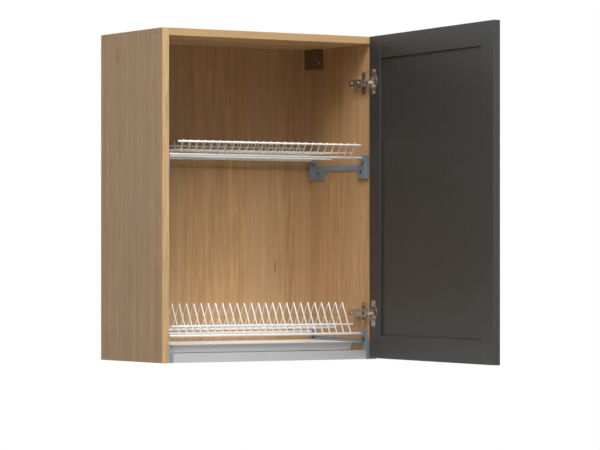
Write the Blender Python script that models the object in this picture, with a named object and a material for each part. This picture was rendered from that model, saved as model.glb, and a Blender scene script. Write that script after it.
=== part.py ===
"""Dish drying cabinet: an open-bottomed wall cupboard with a framed door, two wire racks and a drip tray.

Lengths are in metres and angles in degrees. The world origin is the middle of the top panel's rear
edge, on the wall plane: +X to the right, +Y into the wall and +Z up. Inside this script, heights are
counted from the carcass bottom, and every object hangs under one empty that lowers it to its place.
"""
import math

import bmesh
import bpy
from mathutils import Matrix, Vector

# Clearances that all pieces share
GAP = 0.0003
OVERRUN = 0.002
LAP = 0.001
MERGE = 0.000001

# Carcass boards and back
CARCASS_WIDTH = 0.600
CARCASS_HEIGHT = 0.788
CARCASS_DEPTH = 0.305
BOARD = 0.018
BOARD_EDGE = 0.0006
BACK_THICKNESS = 0.003
BACK_SETBACK = 0.026
GROOVE_DEPTH = 0.008

# Screws through the sides into the top, and the caps over them
CARCASS_SCREW_LENGTH = 0.048
CARCASS_SCREW_RADIUS = 0.0032
CARCASS_HEAD_RADIUS = 0.005
CARCASS_HEAD_DEPTH = 0.004
CARCASS_SCREW_REAR = 0.0757
CARCASS_SCREW_FRONT_BEHIND = 0.0338
CAP_RADIUS = 0.0062
CAP_THICKNESS = 0.0008
CAP_SIDES = 16

# Door frame and panel
DOOR_BOTTOM = 0.0035
DOOR_TOP_GAP = 0.001
DOOR_THICKNESS = 0.018
DOOR_GAP = 0.003
DOOR_SIDE_GAP = 0.002
DOOR_EDGE = 0.0010
STILE_WIDTH = 0.056
PANEL_THICKNESS = 0.008
PANEL_RECESS = 0.0055
TONGUE = 0.008
HANDLE_HOLE_INSET = 0.027
HANDLE_HOLE_RADIUS = 0.0025
PILOT_DEPTH = 0.006

# Concealed hinges: the linkage
HINGE_INSET = 0.1125
REST_ANGLE = 85.0
LINK_SWING = -47.4
OUTER_PIVOT_OFF = 0.0157
OUTER_PIVOT_BEHIND = 0.0041
INNER_PIVOT_OFF = 0.01865
INNER_PIVOT_AHEAD = 0.0037
OUTER_PIN_IN = 0.0089
OUTER_PIN_DEEP = 0.0032
OUTER_ELBOW_IN = 0.0128
OUTER_ELBOW_DEEP = 0.0088
INNER_PIN_IN = 0.01175
INNER_PIN_DEEP = 0.0048
INNER_ELBOW_IN = 0.0227
INNER_ELBOW_DEEP = 0.0089
PIN_RADIUS = 0.0009
PIN_BORE = 0.0011
OUTER_LINK_HALF = 0.0015
OUTER_LINK_HEIGHT = 0.0092
OUTER_CHEEK = 0.0016
OUTER_BARREL = 0.006
INNER_LINK_HALF = 0.0013
INNER_LINK_HEIGHT = 0.0054

# Concealed hinges: mounting plate and arm
WING_BEHIND = 0.027
WING_WIDTH = 0.016
WING_HEIGHT = 0.054
WING_THICKNESS = 0.002
PLATE_SCREW_SPREAD = 0.028
RIDGE_WIDTH = 0.0118
RIDGE_FRONT = 0.015
ARM_REAR = 0.062
ARM_FRONT = 0.006
ARM_HEIGHT = 0.0154
ARM_SHEET = 0.0015
ARM_RISE = 0.022
ARM_FOOT = 0.0032
NOSE_RADIUS = 0.0022
DISC_RADIUS = 0.011
DISC_THICKNESS = 0.0025
DISC_BEHIND = 0.054
ADJUSTER_RADIUS = 0.002
ADJUSTER_HEAD_RADIUS = 0.0034
ADJUSTER_HEAD = 0.0015
ADJUSTER_REACH = 0.007
ADJUSTERS_BEHIND = (0.023, 0.052)

# Concealed hinges: cup in the door
CUP_CENTRE = 0.023
CUP_RADIUS = 0.0174
CUP_DEPTH = 0.0112
CUP_WALL = 0.0006
CUP_RIM_RADIUS = 0.019
CUP_PLATE_WIDTH = 0.020
CUP_PLATE_HEIGHT = 0.064
CUP_PLATE_CORNER = 0.005
CUP_PLATE_THICKNESS = 0.0014
CUP_SCREW_SPREAD = 0.052
CUP_SCREW_OFFSET = 0.0035

# Wood screws of the hinges and brackets
SCREW_RADIUS = 0.0017
SCREW_LENGTH = 0.013
SCREW_HEAD_RADIUS = 0.0035
SCREW_HEAD_HEIGHT = 0.0018
SCREW_CROWN_SHARE = 0.7
SCREW_BORE = 0.0021

# Cabinet hangers in the top rear corners, measured off the side panel
HANGER_WIDTH = 0.0174
HANGER_DEPTH = 0.0612
HANGER_HEIGHT = 0.0499
HANGER_WALL = 0.0015
CARRIAGE_BEHIND_FRONT = 0.006
CARRIAGE_DEPTH = 0.008
CARRIAGE_HEIGHT = 0.028
CARRIAGE_STEP = 0.0125
CARRIAGE_CLEARANCE = 0.0006
CARRIAGE_RISE = 0.0115
PINION_RADIUS = 0.0034
PINION_HEAD_RADIUS = 0.0030
PINION_LENGTH = 0.012
PINION_HEAD_LENGTH = 0.0022
HOOK_THICKNESS = 0.008
HOOK_HEIGHT = 0.0135
HOOK_FRONT = 0.068
HOOK_CLAW_REAR = 0.009
HOOK_CLAW_THICKNESS = 0.007
HOOK_CLAW_DROP = 0.016
DEPTH_SCREW_RADIUS = 0.002
DEPTH_SCREW_HEAD_RADIUS = 0.0038
DEPTH_SCREW_HEAD = 0.0012
DEPTH_SCREW_END = 0.050
HANGER_TRAVEL = 0.005

# Aluminium profiles under the carcass front and rear
PROFILE_HEIGHT = 0.0215
PROFILE_DEPTH = 0.018
PROFILE_WALL = 0.0015
PROFILE_LIP = 0.004
PROFILE_SETBACK = 0.0015
SPIGOT_LENGTH = 0.016
SPIGOT_DEPTH = 0.0105

# Plastic side brackets
BRACKET_PLATE = 0.003
BRACKET_FLANGE = 0.0025
BRACKET_REACH = 0.0116
SADDLE_WIDTH = 0.015
SADDLE_BELOW = 0.0075
SADDLE_ABOVE = 0.006
FRONT_RAIL_BEHIND = 0.0255
REAR_RAIL_AHEAD = 0.0495
UPPER_RAIL_HEIGHT = 0.492
UPPER_FOOT_DROP = 0.0490
UPPER_BEAM_DROP = 0.0150
UPPER_ARCH_DROP = 0.0285
UPPER_FRONT_OVERHANG = 0.0199
UPPER_FRONT_POST = 0.0287
UPPER_FRONT_FOOT = 0.0457
UPPER_REAR_POST = 0.017
UPPER_REAR_FOOT = 0.054
UPPER_SCREW_DROP = 0.033
UPPER_REAR_SCREW_AHEAD = 0.071
UPPER_FRONT_SCREW_BEHIND = 0.0334
LOWER_RAIL_HEIGHT = 0.0627
LOWER_POST_TOP = 0.0055
LOWER_SHOULDER = 0.014
LOWER_BEAM_FRONT_DROP = 0.0155
LOWER_BEAM_REAR_DROP = 0.0095
LOWER_BEAM_HEIGHT = 0.013
LOWER_SLANT = 0.012
LOWER_TAPER_TOP = 0.0555
LOWER_REAR_SCREW_AHEAD = 0.048
LOWER_FRONT_SCREW_BEHIND = 0.021
LOWER_SCREW_DROP = 0.0165
LEDGE_OVERLAP = 0.0025
LEDGE_THICKNESS = 0.0022
LEDGE_GUIDE = 0.0035
LEDGE_FRONT_BEHIND = 0.026

# Wire racks
RAIL_RADIUS = 0.003
SLIM_RAIL_RADIUS = 0.0025
WIRE_RADIUS = 0.0016
WIRE_PITCH = 0.020
WIRE_END_ROOM = 0.036
WIRE_BEND = 0.006
WIRE_TIP = 0.003
WELD = 0.0011
RAIL_ROUNDING = 1
WIRE_ROUNDING = 1
RAIL_OVERHANG = 0.016
SADDLE_PLAY = 0.0008
CUP_FRONT_RISE = 0.030
CUP_FRONT_LEAN = 0.0225
CUP_REAR_RISE = 0.030
CUP_REAR_LEAN = 0.013
CUP_MIDDLE_AHEAD = 0.167
PLATE_PEAK_AHEAD = 0.2384
PLATE_PEAK_HEIGHT = 0.1465
PLATE_VALLEY_AHEAD = 0.207
PLATE_VALLEY_HEIGHT = 0.0805
PLATE_FRONT_RAIL_HEIGHT = 0.0862
PLATE_PEAK_BEND = 0.0045
PLATE_FOOT_DROP = 0.002
PLATE_CROSS_RAIL_BEHIND = 0.022
PLATE_WIRE_TAIL = 0.005

# Drip tray
TRAY_FRONT_BEHIND = 0.016
TRAY_REAR_AHEAD = 0.056
TRAY_LEFT_GAP = 0.0085
TRAY_RIGHT_GAP = 0.030
TRAY_PLAY = 0.001
TRAY_TOP = 0.0420
TRAY_RIM = 0.004
TRAY_BOTTOM = 0.0240
TRAY_DRAFT = 0.004
TRAY_SHEET = 0.0012
TRAY_CORNER = 0.010
TRAY_CORNER_STEPS = 4

# Sides of the round pieces
BORE_SIDES = 10
PIN_SIDES = 10
SCREW_SIDES = 8
CUP_SIDES = 24
LINK_STEPS = 4
BEND_STEPS = 2
WIRE_BEND_STEPS = 1
ARCH_STEPS = 5
SHARP_ANGLE = 40

# Derived frame
HALF_WIDTH = CARCASS_WIDTH / 2
INNER_HALF = HALF_WIDTH - BOARD
ORIGIN_HEIGHT = CARCASS_HEIGHT - BOARD / 2
CEILING = CARCASS_HEIGHT - BOARD
BACK_FRONT = BACK_SETBACK + BACK_THICKNESS
CARCASS_SCREWS_BACK = (CARCASS_SCREW_REAR, CARCASS_DEPTH - CARCASS_SCREW_FRONT_BEHIND)
DOOR_WIDTH = CARCASS_WIDTH - 2 * DOOR_SIDE_GAP
DOOR_HEIGHT = CARCASS_HEIGHT - DOOR_BOTTOM - DOOR_TOP_GAP
DOOR_FACE = -CARCASS_DEPTH - DOOR_GAP
FRONT_RAIL_AHEAD = CARCASS_DEPTH - FRONT_RAIL_BEHIND
UPPER_BRACKET_FRONT = FRONT_RAIL_AHEAD + UPPER_FRONT_OVERHANG
HINGE_HEIGHTS = {"bottom": HINGE_INSET, "top": CARCASS_HEIGHT - HINGE_INSET}
SIDES = {"left": -1, "right": 1}
RAIL_HALF = INNER_HALF - GAP - BRACKET_PLATE - SADDLE_PLAY
WIRES_ASIDE = math.floor((INNER_HALF - WIRE_END_ROOM) / WIRE_PITCH)
WIRE_HALF = WIRE_PITCH * WIRES_ASIDE
SLIM_HALF = WIRE_HALF + RAIL_OVERHANG
TRAY_LEFT = TRAY_LEFT_GAP - INNER_HALF
TRAY_RIGHT = INNER_HALF - TRAY_RIGHT_GAP

# Derived places of the hangers
HANGER_LOW = CEILING - GAP - HANGER_HEIGHT
HANGER_FRONT = BACK_FRONT + GAP + HANGER_DEPTH
HANGER_MIDDLE = GAP + HANGER_WIDTH / 2
CARRIAGE_LOW = HANGER_LOW + CARRIAGE_RISE
HOOK_TOP = CARRIAGE_LOW + CARRIAGE_HEIGHT - LAP
HOOK_MIDDLE = HOOK_TOP - HOOK_HEIGHT / 2
PINION_HEIGHT = CARRIAGE_LOW + CARRIAGE_STEP - HANGER_TRAVEL - PINION_RADIUS - LAP
RACK_FACE = HANGER_MIDDLE - GAP
PINION_OFF = RACK_FACE + PINION_RADIUS + GAP


# Mesh helpers

def as_object(bm, name="solid"):
    """Turn a bmesh into a closed object whose faces point outwards."""
    bmesh.ops.recalc_face_normals(bm, faces=bm.faces)
    mesh = bpy.data.meshes.new(name)
    bm.to_mesh(mesh)
    bm.free()
    result = bpy.data.objects.new(name, mesh)
    bpy.context.scene.collection.objects.link(result)
    return result


def box(low, high, edge=0.0):
    """A block between two corners, with its edges taken off where edge is given."""
    size = [high[i] - low[i] for i in range(3)]
    middle = [(high[i] + low[i]) / 2 for i in range(3)]
    bm = bmesh.new()
    shape = Matrix.Translation(middle) @ Matrix.Diagonal((*size, 1))
    bmesh.ops.create_cube(bm, size=1, matrix=shape)
    if edge:
        bmesh.ops.bevel(bm, geom=bm.edges[:], offset=edge, segments=1, affect="EDGES")
    return as_object(bm)


def side_box(side, off, back, height, edge=0.0):
    """A block by a side panel: ranges off the panel, ahead of the wall plane and above the bottom."""
    across = sorted(side * (INNER_HALF - value) for value in off)
    return box((across[0], -back[1], height[0]), (across[1], -back[0], height[1]), edge)


def prism(outline, axis, start, end):
    """Extrude a flat outline along one axis; the outline's two numbers are the other two axes in order."""
    place = {
        "X": lambda a, b, along: (along, a, b),
        "Y": lambda a, b, along: (a, along, b),
        "Z": lambda a, b, along: (a, b, along),
    }[axis]
    bm = bmesh.new()
    face = bm.faces.new([bm.verts.new(place(a, b, start)) for a, b in outline])
    raised = bmesh.ops.extrude_face_region(bm, geom=[face])
    lifted = [item for item in raised["geom"] if isinstance(item, bmesh.types.BMVert)]
    bmesh.ops.translate(bm, verts=lifted, vec=place(0, 0, end - start))
    return as_object(bm)


def turned(profile, centre, direction, sides):
    """Spin a profile of (radius, along) pairs round an axis through centre."""
    bm = bmesh.new()
    verts = [bm.verts.new((radius, 0, along)) for radius, along in profile]
    edges = [bm.edges.new(pair) for pair in zip(verts, verts[1:])]
    bmesh.ops.spin(bm, geom=verts + edges, cent=(0, 0, 0), axis=(0, 0, 1), angle=math.tau, steps=sides)
    bmesh.ops.remove_doubles(bm, verts=bm.verts, dist=MERGE)
    turn = Vector((0, 0, 1)).rotation_difference(Vector(direction)).to_matrix().to_4x4()
    bmesh.ops.transform(bm, matrix=Matrix.Translation(centre) @ turn, verts=bm.verts)
    return as_object(bm)


def cylinder(centre, direction, radius, start, end, sides):
    """A plain round bar from start to end along its direction."""
    return turned([(0, start), (radius, start), (radius, end), (0, end)], centre, direction, sides)


def combine(target, tools, operation):
    """Apply one boolean for each tool, and remove the tools."""
    for tool in tools:
        tool.display_type = "WIRE"
        tool.hide_render = True
        modifier = target.modifiers.new("combine", "BOOLEAN")
        modifier.operation = operation
        modifier.object = tool
        bpy.context.view_layer.update()
        evaluated = target.evaluated_get(bpy.context.evaluated_depsgraph_get())
        shaped = bpy.data.meshes.new_from_object(evaluated)
        target.modifiers.clear()
        target.data = shaped
        bpy.data.objects.remove(tool)
    return target


def cut(target, *tools):
    return combine(target, tools, "DIFFERENCE")


def fuse(target, *tools):
    return combine(target, tools, "UNION")


def arc(centre, radius, start, end, steps):
    """Points on an arc, from one angle in degrees to another, both ends included."""
    angles = [math.radians(start + (end - start) * i / steps) for i in range(steps + 1)]
    return [(centre[0] + radius * math.cos(a), centre[1] + radius * math.sin(a)) for a in angles]


def rounded(points, radius, steps):
    """Round the inner corners of an open path in a plane."""
    path = [points[0]]
    for before, corner, after in zip(points, points[1:], points[2:]):
        here, back, ahead = Vector(corner), Vector(before), Vector(after)
        inward, outward = (back - here).normalized(), (ahead - here).normalized()
        half = inward.angle(outward) / 2
        reach = radius / math.tan(half)
        centre = here + (inward + outward).normalized() * (radius / math.sin(half))
        first, last = here + inward * reach - centre, here + outward * reach - centre
        sweep = first.angle_signed(last)
        for i in range(steps + 1):
            turned_by = Matrix.Rotation(-sweep * i / steps, 2)
            path.append(tuple(centre + turned_by @ first))
    path.append(points[-1])
    return path


def rotated(point, angle):
    """Turn a point in plan about the origin, by an angle in degrees."""
    return Matrix.Rotation(math.radians(angle), 2) @ Vector(point)


# Materials

def finish(name, colour, roughness, metallic=0.0):
    """A Principled material."""
    result = bpy.data.materials.new(name)
    result.use_nodes = True
    shader = result.node_tree.nodes["Principled BSDF"]
    shader.inputs["Base Color"].default_value = (*colour, 1)
    shader.inputs["Roughness"].default_value = roughness
    shader.inputs["Metallic"].default_value = metallic
    return result


def make_finishes():
    return {
        "oak": finish("oak_decor", (0.42, 0.26, 0.12), 0.5),
        "oak_back": finish("oak_back", (0.40, 0.24, 0.11), 0.55),
        "graphite": finish("graphite_lacquer", (0.045, 0.046, 0.045), 0.45),
        "aluminium": finish("brushed_aluminium", (0.62, 0.62, 0.62), 0.35, 1.0),
        "tray": finish("pressed_tray", (0.60, 0.60, 0.57), 0.4, 0.6),
        "plastic": finish("grey_plastic", (0.17, 0.21, 0.24), 0.45),
        "wire": finish("white_coating", (0.86, 0.85, 0.82), 0.35),
        "nickel": finish("nickel_plate", (0.58, 0.55, 0.51), 0.25, 1.0),
        "zinc": finish("zinc_screw", (0.45, 0.45, 0.45), 0.35, 1.0),
        "brown_plastic": finish("brown_plastic", (0.08, 0.045, 0.02), 0.5),
        "cap": finish("oak_cap", (0.40, 0.27, 0.14), 0.5),
    }


# Carriers: empties on the joints' axes, which hold the pieces that move

class Carrier:
    """An empty on a joint's axis. Pieces are modelled round start and shown at rest, turned."""

    def __init__(self, name, start, rest=None, angle=0.0, under=None):
        self.start = Vector(start)
        self.empty = bpy.data.objects.new(name, None)
        self.empty.location = Vector(start if rest is None else rest)
        self.empty.rotation_euler.z = math.radians(angle)
        self.empty.parent = under
        bpy.context.scene.collection.objects.link(self.empty)

    def carry(self, name, solid, material, smooth=False):
        """Name a piece, dress it and hang it under this carrier."""
        solid.name = name
        solid.data.name = name
        solid.data.materials.clear()
        solid.data.materials.append(material)
        solid.data.transform(Matrix.Translation(-self.start))
        solid.parent = self.empty
        if smooth:
            solid.data.shade_smooth()
            solid.data.set_sharp_from_angle(angle=math.radians(SHARP_ANGLE))
        return solid


# Carcass

def upper_ahead(side, ahead):
    """Place on an upper bracket ahead of the wall plane. The left one is the same moulding, turned round."""
    return ahead if side > 0 else FRONT_RAIL_AHEAD + REAR_RAIL_AHEAD - ahead


def upper_range(side, start, end):
    return sorted((upper_ahead(side, start), upper_ahead(side, end)))


def bracket_screw_places(side):
    """Place ahead of the wall plane and height of each screw that holds the two brackets of a side."""
    upper = UPPER_RAIL_HEIGHT - UPPER_SCREW_DROP
    lower = LOWER_RAIL_HEIGHT - LOWER_SCREW_DROP
    flange_end = UPPER_BRACKET_FRONT - UPPER_FRONT_SCREW_BEHIND
    upper_rear, upper_front = upper_range(side, UPPER_REAR_SCREW_AHEAD, flange_end)
    return {
        "upper_rear": (upper_rear, upper),
        "upper_front": (upper_front, upper),
        "lower_rear": (LOWER_REAR_SCREW_AHEAD, lower),
        "lower_front": (CARCASS_DEPTH - LOWER_FRONT_SCREW_BEHIND, lower),
    }


def screws_of(side, bracket):
    return [place for name, place in bracket_screw_places(side).items() if name.startswith(bracket)]


def plate_screw_places():
    """Heights and places ahead of the wall plane of the screws of both hinge plates."""
    ahead = CARCASS_DEPTH - WING_BEHIND
    spread = PLATE_SCREW_SPREAD / 2
    return [(ahead, middle + step) for middle in HINGE_HEIGHTS.values() for step in (-spread, spread)]


def side_panel(side):
    """A side board with its groove, its screw holes and the pilots of what is screwed to it."""
    outer, inner = side * HALF_WIDTH, side * INNER_HALF
    low, high = sorted((outer, inner))
    board = box((low, -CARCASS_DEPTH, 0), (high, 0, CARCASS_HEIGHT), BOARD_EDGE)
    groove = side_box(
        side,
        (-GROOVE_DEPTH, OVERRUN),
        (BACK_SETBACK - GAP, BACK_FRONT + GAP),
        (-OVERRUN, CEILING + GROOVE_DEPTH),
    )
    tools = [groove]
    top_middle = CARCASS_HEIGHT - BOARD / 2
    for back in CARCASS_SCREWS_BACK:
        profile = [
            (0, -OVERRUN),
            (CARCASS_HEAD_RADIUS + GAP, -OVERRUN),
            (CARCASS_HEAD_RADIUS + GAP, CARCASS_HEAD_DEPTH),
            (CARCASS_SCREW_RADIUS + GAP, CARCASS_HEAD_DEPTH),
            (CARCASS_SCREW_RADIUS + GAP, BOARD + OVERRUN),
            (0, BOARD + OVERRUN),
        ]
        tools.append(turned(profile, (outer, -back, top_middle), (-side, 0, 0), BORE_SIDES))
    places = list(bracket_screw_places(side).values()) + (plate_screw_places() if side > 0 else [])
    for ahead, height in places:
        centre = (inner, -ahead, height)
        tools.append(cylinder(centre, (side, 0, 0), SCREW_BORE, -OVERRUN, SCREW_LENGTH, SCREW_SIDES))
    return cut(board, *tools)


def top_panel():
    """The top board between the sides, with the back panel's groove and the screws' pilot holes."""
    half = INNER_HALF - GAP
    board = box((-half, -CARCASS_DEPTH, CEILING), (half, 0, CARCASS_HEIGHT), BOARD_EDGE)
    groove = box(
        (-HALF_WIDTH, -BACK_FRONT - GAP, CEILING - OVERRUN),
        (HALF_WIDTH, -BACK_SETBACK + GAP, CEILING + GROOVE_DEPTH),
    )
    tools = [groove]
    reach = CARCASS_SCREW_LENGTH - BOARD + CARCASS_HEAD_DEPTH
    for side in SIDES.values():
        for back in CARCASS_SCREWS_BACK:
            centre = (side * half, -back, CARCASS_HEIGHT - BOARD / 2)
            radius = CARCASS_SCREW_RADIUS + GAP
            tools.append(cylinder(centre, (-side, 0, 0), radius, -OVERRUN, reach, BORE_SIDES))
    return cut(board, *tools)


def back_panel():
    """The thin back in its grooves, with an opening behind each hanger."""
    half = INNER_HALF + GROOVE_DEPTH - GAP
    top = CEILING + GROOVE_DEPTH - GAP
    sheet = box((-half, -BACK_FRONT, GAP), (half, -BACK_SETBACK, top))
    openings = []
    for side in SIDES.values():
        across = (HANGER_WALL, HANGER_WIDTH - HANGER_WALL)
        height = (CEILING - HANGER_HEIGHT + HANGER_WALL, CEILING - HANGER_WALL)
        through = (BACK_SETBACK - OVERRUN, BACK_FRONT + OVERRUN)
        openings.append(side_box(side, across, through, height))
    return cut(sheet, *openings)


def carcass_screw(side, back):
    """A screw through a side into the top panel's end, with the cap that is stuck in its head."""
    profile = [
        (0, -GAP - CAP_THICKNESS), (CAP_RADIUS, -GAP - CAP_THICKNESS), (CAP_RADIUS, -GAP),
        (CARCASS_HEAD_RADIUS, -GAP), (CARCASS_HEAD_RADIUS, CARCASS_HEAD_DEPTH - GAP),
        (CARCASS_SCREW_RADIUS, CARCASS_HEAD_DEPTH - GAP),
        (CARCASS_SCREW_RADIUS, CARCASS_SCREW_LENGTH - CARCASS_SCREW_RADIUS),
        (0, CARCASS_SCREW_LENGTH),
    ]
    centre = (side * HALF_WIDTH, -back, CARCASS_HEIGHT - BOARD / 2)
    return turned(profile, centre, (-side, 0, 0), CAP_SIDES)


def profile_outline(front):
    """Section of the channel profile in (Y, Z), closed side first, for the front or the rear one."""
    flip = 1 if front else -1
    face = -CARCASS_DEPTH + PROFILE_SETBACK if front else -BACK_FRONT - GAP
    low, high = GAP, GAP + PROFILE_HEIGHT
    back, wall, lip = PROFILE_DEPTH, PROFILE_WALL, PROFILE_LIP
    section = [
        (0, low), (back, low), (back, low + lip), (back - wall, low + lip), (back - wall, low + wall),
        (wall, low + wall), (wall, high - wall), (back - wall, high - wall), (back - wall, high - lip),
        (back, high - lip), (back, high), (0, high),
    ]
    return [(face + flip * y, z) for y, z in section]


def channel_profile(front):
    """One aluminium profile, which ties the sides together where a bottom board would be."""
    half = INNER_HALF - BRACKET_REACH - GAP
    return prism(profile_outline(front), "X", -half, half)


# Side brackets of the racks

def saddle(side, ahead, rail_height):
    """An open-topped cradle for the end of a rack's rail."""
    half = SADDLE_WIDTH / 2
    low, high = rail_height - SADDLE_BELOW, rail_height + SADDLE_ABOVE
    block = side_box(side, (GAP + LAP, BRACKET_REACH), (ahead - half, ahead + half), (low, high))
    radius = RAIL_RADIUS + GAP
    slot = [(ahead - radius, high + OVERRUN)]
    slot += arc((ahead, rail_height), radius, 180, 360, BORE_SIDES // 2)
    slot += [(ahead + radius, high + OVERRUN)]
    across = [side * (INNER_HALF - value) for value in (BRACKET_PLATE + GAP, BRACKET_REACH + OVERRUN)]
    return cut(block, prism([(-y, z) for y, z in slot], "X", *across))


def bracket_plate(side, outline, holes):
    """The flat moulding against the side panel, with its screw holes."""
    across = sorted(side * (INNER_HALF - value) for value in (GAP, GAP + BRACKET_PLATE))
    plate = prism([(-ahead, height) for ahead, height in outline], "X", *across)
    tools = []
    for ahead, height in holes:
        centre = (side * INNER_HALF, -ahead, height)
        end = BRACKET_PLATE + OVERRUN
        tools.append(cylinder(centre, (-side, 0, 0), SCREW_BORE, -OVERRUN, end, SCREW_SIDES))
    return cut(plate, *tools)


def upper_bracket(side):
    """Bracket of the cup rack: two posts on feet, joined by a beam with an arched underside."""
    rail = UPPER_RAIL_HEIGHT
    front, rear = UPPER_BRACKET_FRONT, REAR_RAIL_AHEAD - SADDLE_WIDTH / 2
    foot, beam, arch = rail - UPPER_FOOT_DROP, rail - UPPER_BEAM_DROP, rail - UPPER_ARCH_DROP
    post = rail + SADDLE_ABOVE
    arch_front, arch_rear = front - UPPER_FRONT_FOOT, rear + UPPER_REAR_FOOT
    rise = arch - foot
    outline = [
        (front, foot), (front, post), (front - UPPER_FRONT_POST, post), (front - UPPER_FRONT_POST, beam),
        (rear + UPPER_REAR_POST, beam), (rear + UPPER_REAR_POST, post), (rear, post), (rear, foot),
    ]
    outline += arc((arch_rear + rise, foot), rise, 180, 90, ARCH_STEPS)
    outline += arc((arch_front - rise, foot), rise, 90, 0, ARCH_STEPS)
    outline = [(upper_ahead(side, ahead), height) for ahead, height in outline]
    reach = (GAP + LAP, BRACKET_REACH)
    flange = side_box(side, reach, upper_range(side, front - BRACKET_FLANGE, front), (foot, rail))
    foot_back = upper_range(side, arch_front + LAP, front - LAP)
    foot_pad = side_box(side, reach, foot_back, (foot, foot + BRACKET_FLANGE))
    rear_flange = side_box(side, reach, upper_range(side, rear, rear + BRACKET_FLANGE), (foot, rail))
    saddles = [saddle(side, FRONT_RAIL_AHEAD, rail), saddle(side, REAR_RAIL_AHEAD, rail)]
    plate = bracket_plate(side, outline, screws_of(side, "upper"))
    return fuse(plate, flange, foot_pad, rear_flange, *saddles)


def side_prism(side, section, ahead):
    """A bar that runs front to back by a side panel, from its section in (off the panel, height)."""
    outline = [(side * (INNER_HALF - off), height) for off, height in section]
    return prism(outline, "Y", -ahead[1], -ahead[0])


def tray_ledge(side):
    """The shelf under one end of the tray's rim, with the raised guide that keeps the tray straight."""
    edge = TRAY_LEFT_GAP if side < 0 else TRAY_RIGHT_GAP
    shelf, top = TRAY_TOP - TRAY_SHEET - GAP, TRAY_TOP + LEDGE_GUIDE
    start, guide, end = GAP + LAP, edge - TRAY_PLAY, edge + LEDGE_OVERLAP
    low = shelf - LEDGE_THICKNESS
    section = [(start, low), (end, low), (end, shelf), (guide, shelf), (guide, top), (start, top)]
    return side_prism(side, section, (REAR_RAIL_AHEAD + SADDLE_WIDTH / 2, CARCASS_DEPTH - LEDGE_FRONT_BEHIND))


def end_block(side, front):
    """The bracket's foot at one end, with the spigot that plugs the aluminium profile."""
    low, high = GAP, GAP + PROFILE_HEIGHT
    face = CARCASS_DEPTH - PROFILE_SETBACK if front else BACK_FRONT + GAP
    sign = -1 if front else 1
    back = sorted((face, face + sign * PROFILE_DEPTH))
    block = side_box(side, (GAP + LAP, BRACKET_REACH), back, (low, high))
    inner = face + sign * (PROFILE_WALL + GAP)
    inside = (low + PROFILE_WALL + GAP, high - PROFILE_WALL - GAP)
    reach = sorted((inner, inner + sign * SPIGOT_DEPTH))
    spigot = side_box(side, (BRACKET_REACH - LAP, BRACKET_REACH + SPIGOT_LENGTH), reach, inside)
    return fuse(block, spigot)


def lower_bracket(side):
    """Bracket of the plate rack and tray: tapered front post, sloping beam, ledge and profile plugs."""
    rail = LOWER_RAIL_HEIGHT
    front = CARCASS_DEPTH - PROFILE_SETBACK
    rear = BACK_FRONT + GAP
    post = rail + LOWER_POST_TOP
    block_top = GAP + PROFILE_HEIGHT
    slant_top = front - LOWER_SLANT
    beam_front, beam_rear = rail - LOWER_BEAM_FRONT_DROP, rail - LOWER_BEAM_REAR_DROP
    rail_front, rail_rear = FRONT_RAIL_AHEAD, REAR_RAIL_AHEAD
    half = SADDLE_WIDTH / 2
    outline = [
        (front, GAP), (front, block_top), (slant_top, post), (slant_top - LOWER_SHOULDER, post),
        (rail_front - half, beam_front), (rail_rear + half + LAP, beam_rear),
        (rail_rear + half, post), (rail_rear - half, post),
        (rail_rear - half, beam_rear), (rear, block_top), (rear, GAP), (rear + PROFILE_DEPTH, GAP),
        (rear + PROFILE_DEPTH + LAP, beam_rear - LOWER_BEAM_HEIGHT),
        (front - PROFILE_DEPTH - LAP, beam_front - LOWER_BEAM_HEIGHT), (front - PROFILE_DEPTH, GAP),
    ]
    slope = [
        (front, block_top - LAP), (slant_top, post),
        (slant_top - BRACKET_FLANGE, post), (front - BRACKET_FLANGE, block_top - LAP),
    ]
    across = sorted(side * (INNER_HALF - value) for value in (GAP + LAP, BRACKET_REACH))
    slanted = prism([(-ahead, height) for ahead, height in slope], "X", *across)
    beyond = [
        (BRACKET_REACH, block_top), (0, LOWER_TAPER_TOP), (0, post + OVERRUN),
        (BRACKET_REACH + OVERRUN, post + OVERRUN), (BRACKET_REACH + OVERRUN, block_top),
    ]
    flange_ahead = (slant_top - BRACKET_FLANGE - OVERRUN, front + OVERRUN)
    tapered = cut(slanted, side_prism(side, beyond, flange_ahead))
    pieces = [tapered, tray_ledge(side), saddle(side, rail_front, rail), saddle(side, rail_rear, rail)]
    pieces += [end_block(side, True), end_block(side, False)]
    return fuse(bracket_plate(side, outline, screws_of(side, "lower")), *pieces)


def wood_screw(centre, direction):
    """A pan-head screw whose head sits on the plane through centre and whose shank runs along direction."""
    head, shank = SCREW_HEAD_RADIUS, SCREW_RADIUS
    profile = [
        (0, -GAP - SCREW_HEAD_HEIGHT), (head * SCREW_CROWN_SHARE, -GAP - SCREW_HEAD_HEIGHT),
        (head, -GAP - SCREW_HEAD_HEIGHT / 2), (head, -GAP), (shank, -GAP),
        (shank, SCREW_LENGTH - shank - OVERRUN), (0, SCREW_LENGTH - OVERRUN),
    ]
    return turned(profile, centre, direction, SCREW_SIDES)


def bracket_screw(side, ahead, height):
    """A screw that holds a plastic bracket to its side panel."""
    face = side * (INNER_HALF - GAP - BRACKET_PLATE)
    return wood_screw((face, -ahead, height), (side, 0, 0))


# Racks and tray

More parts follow.
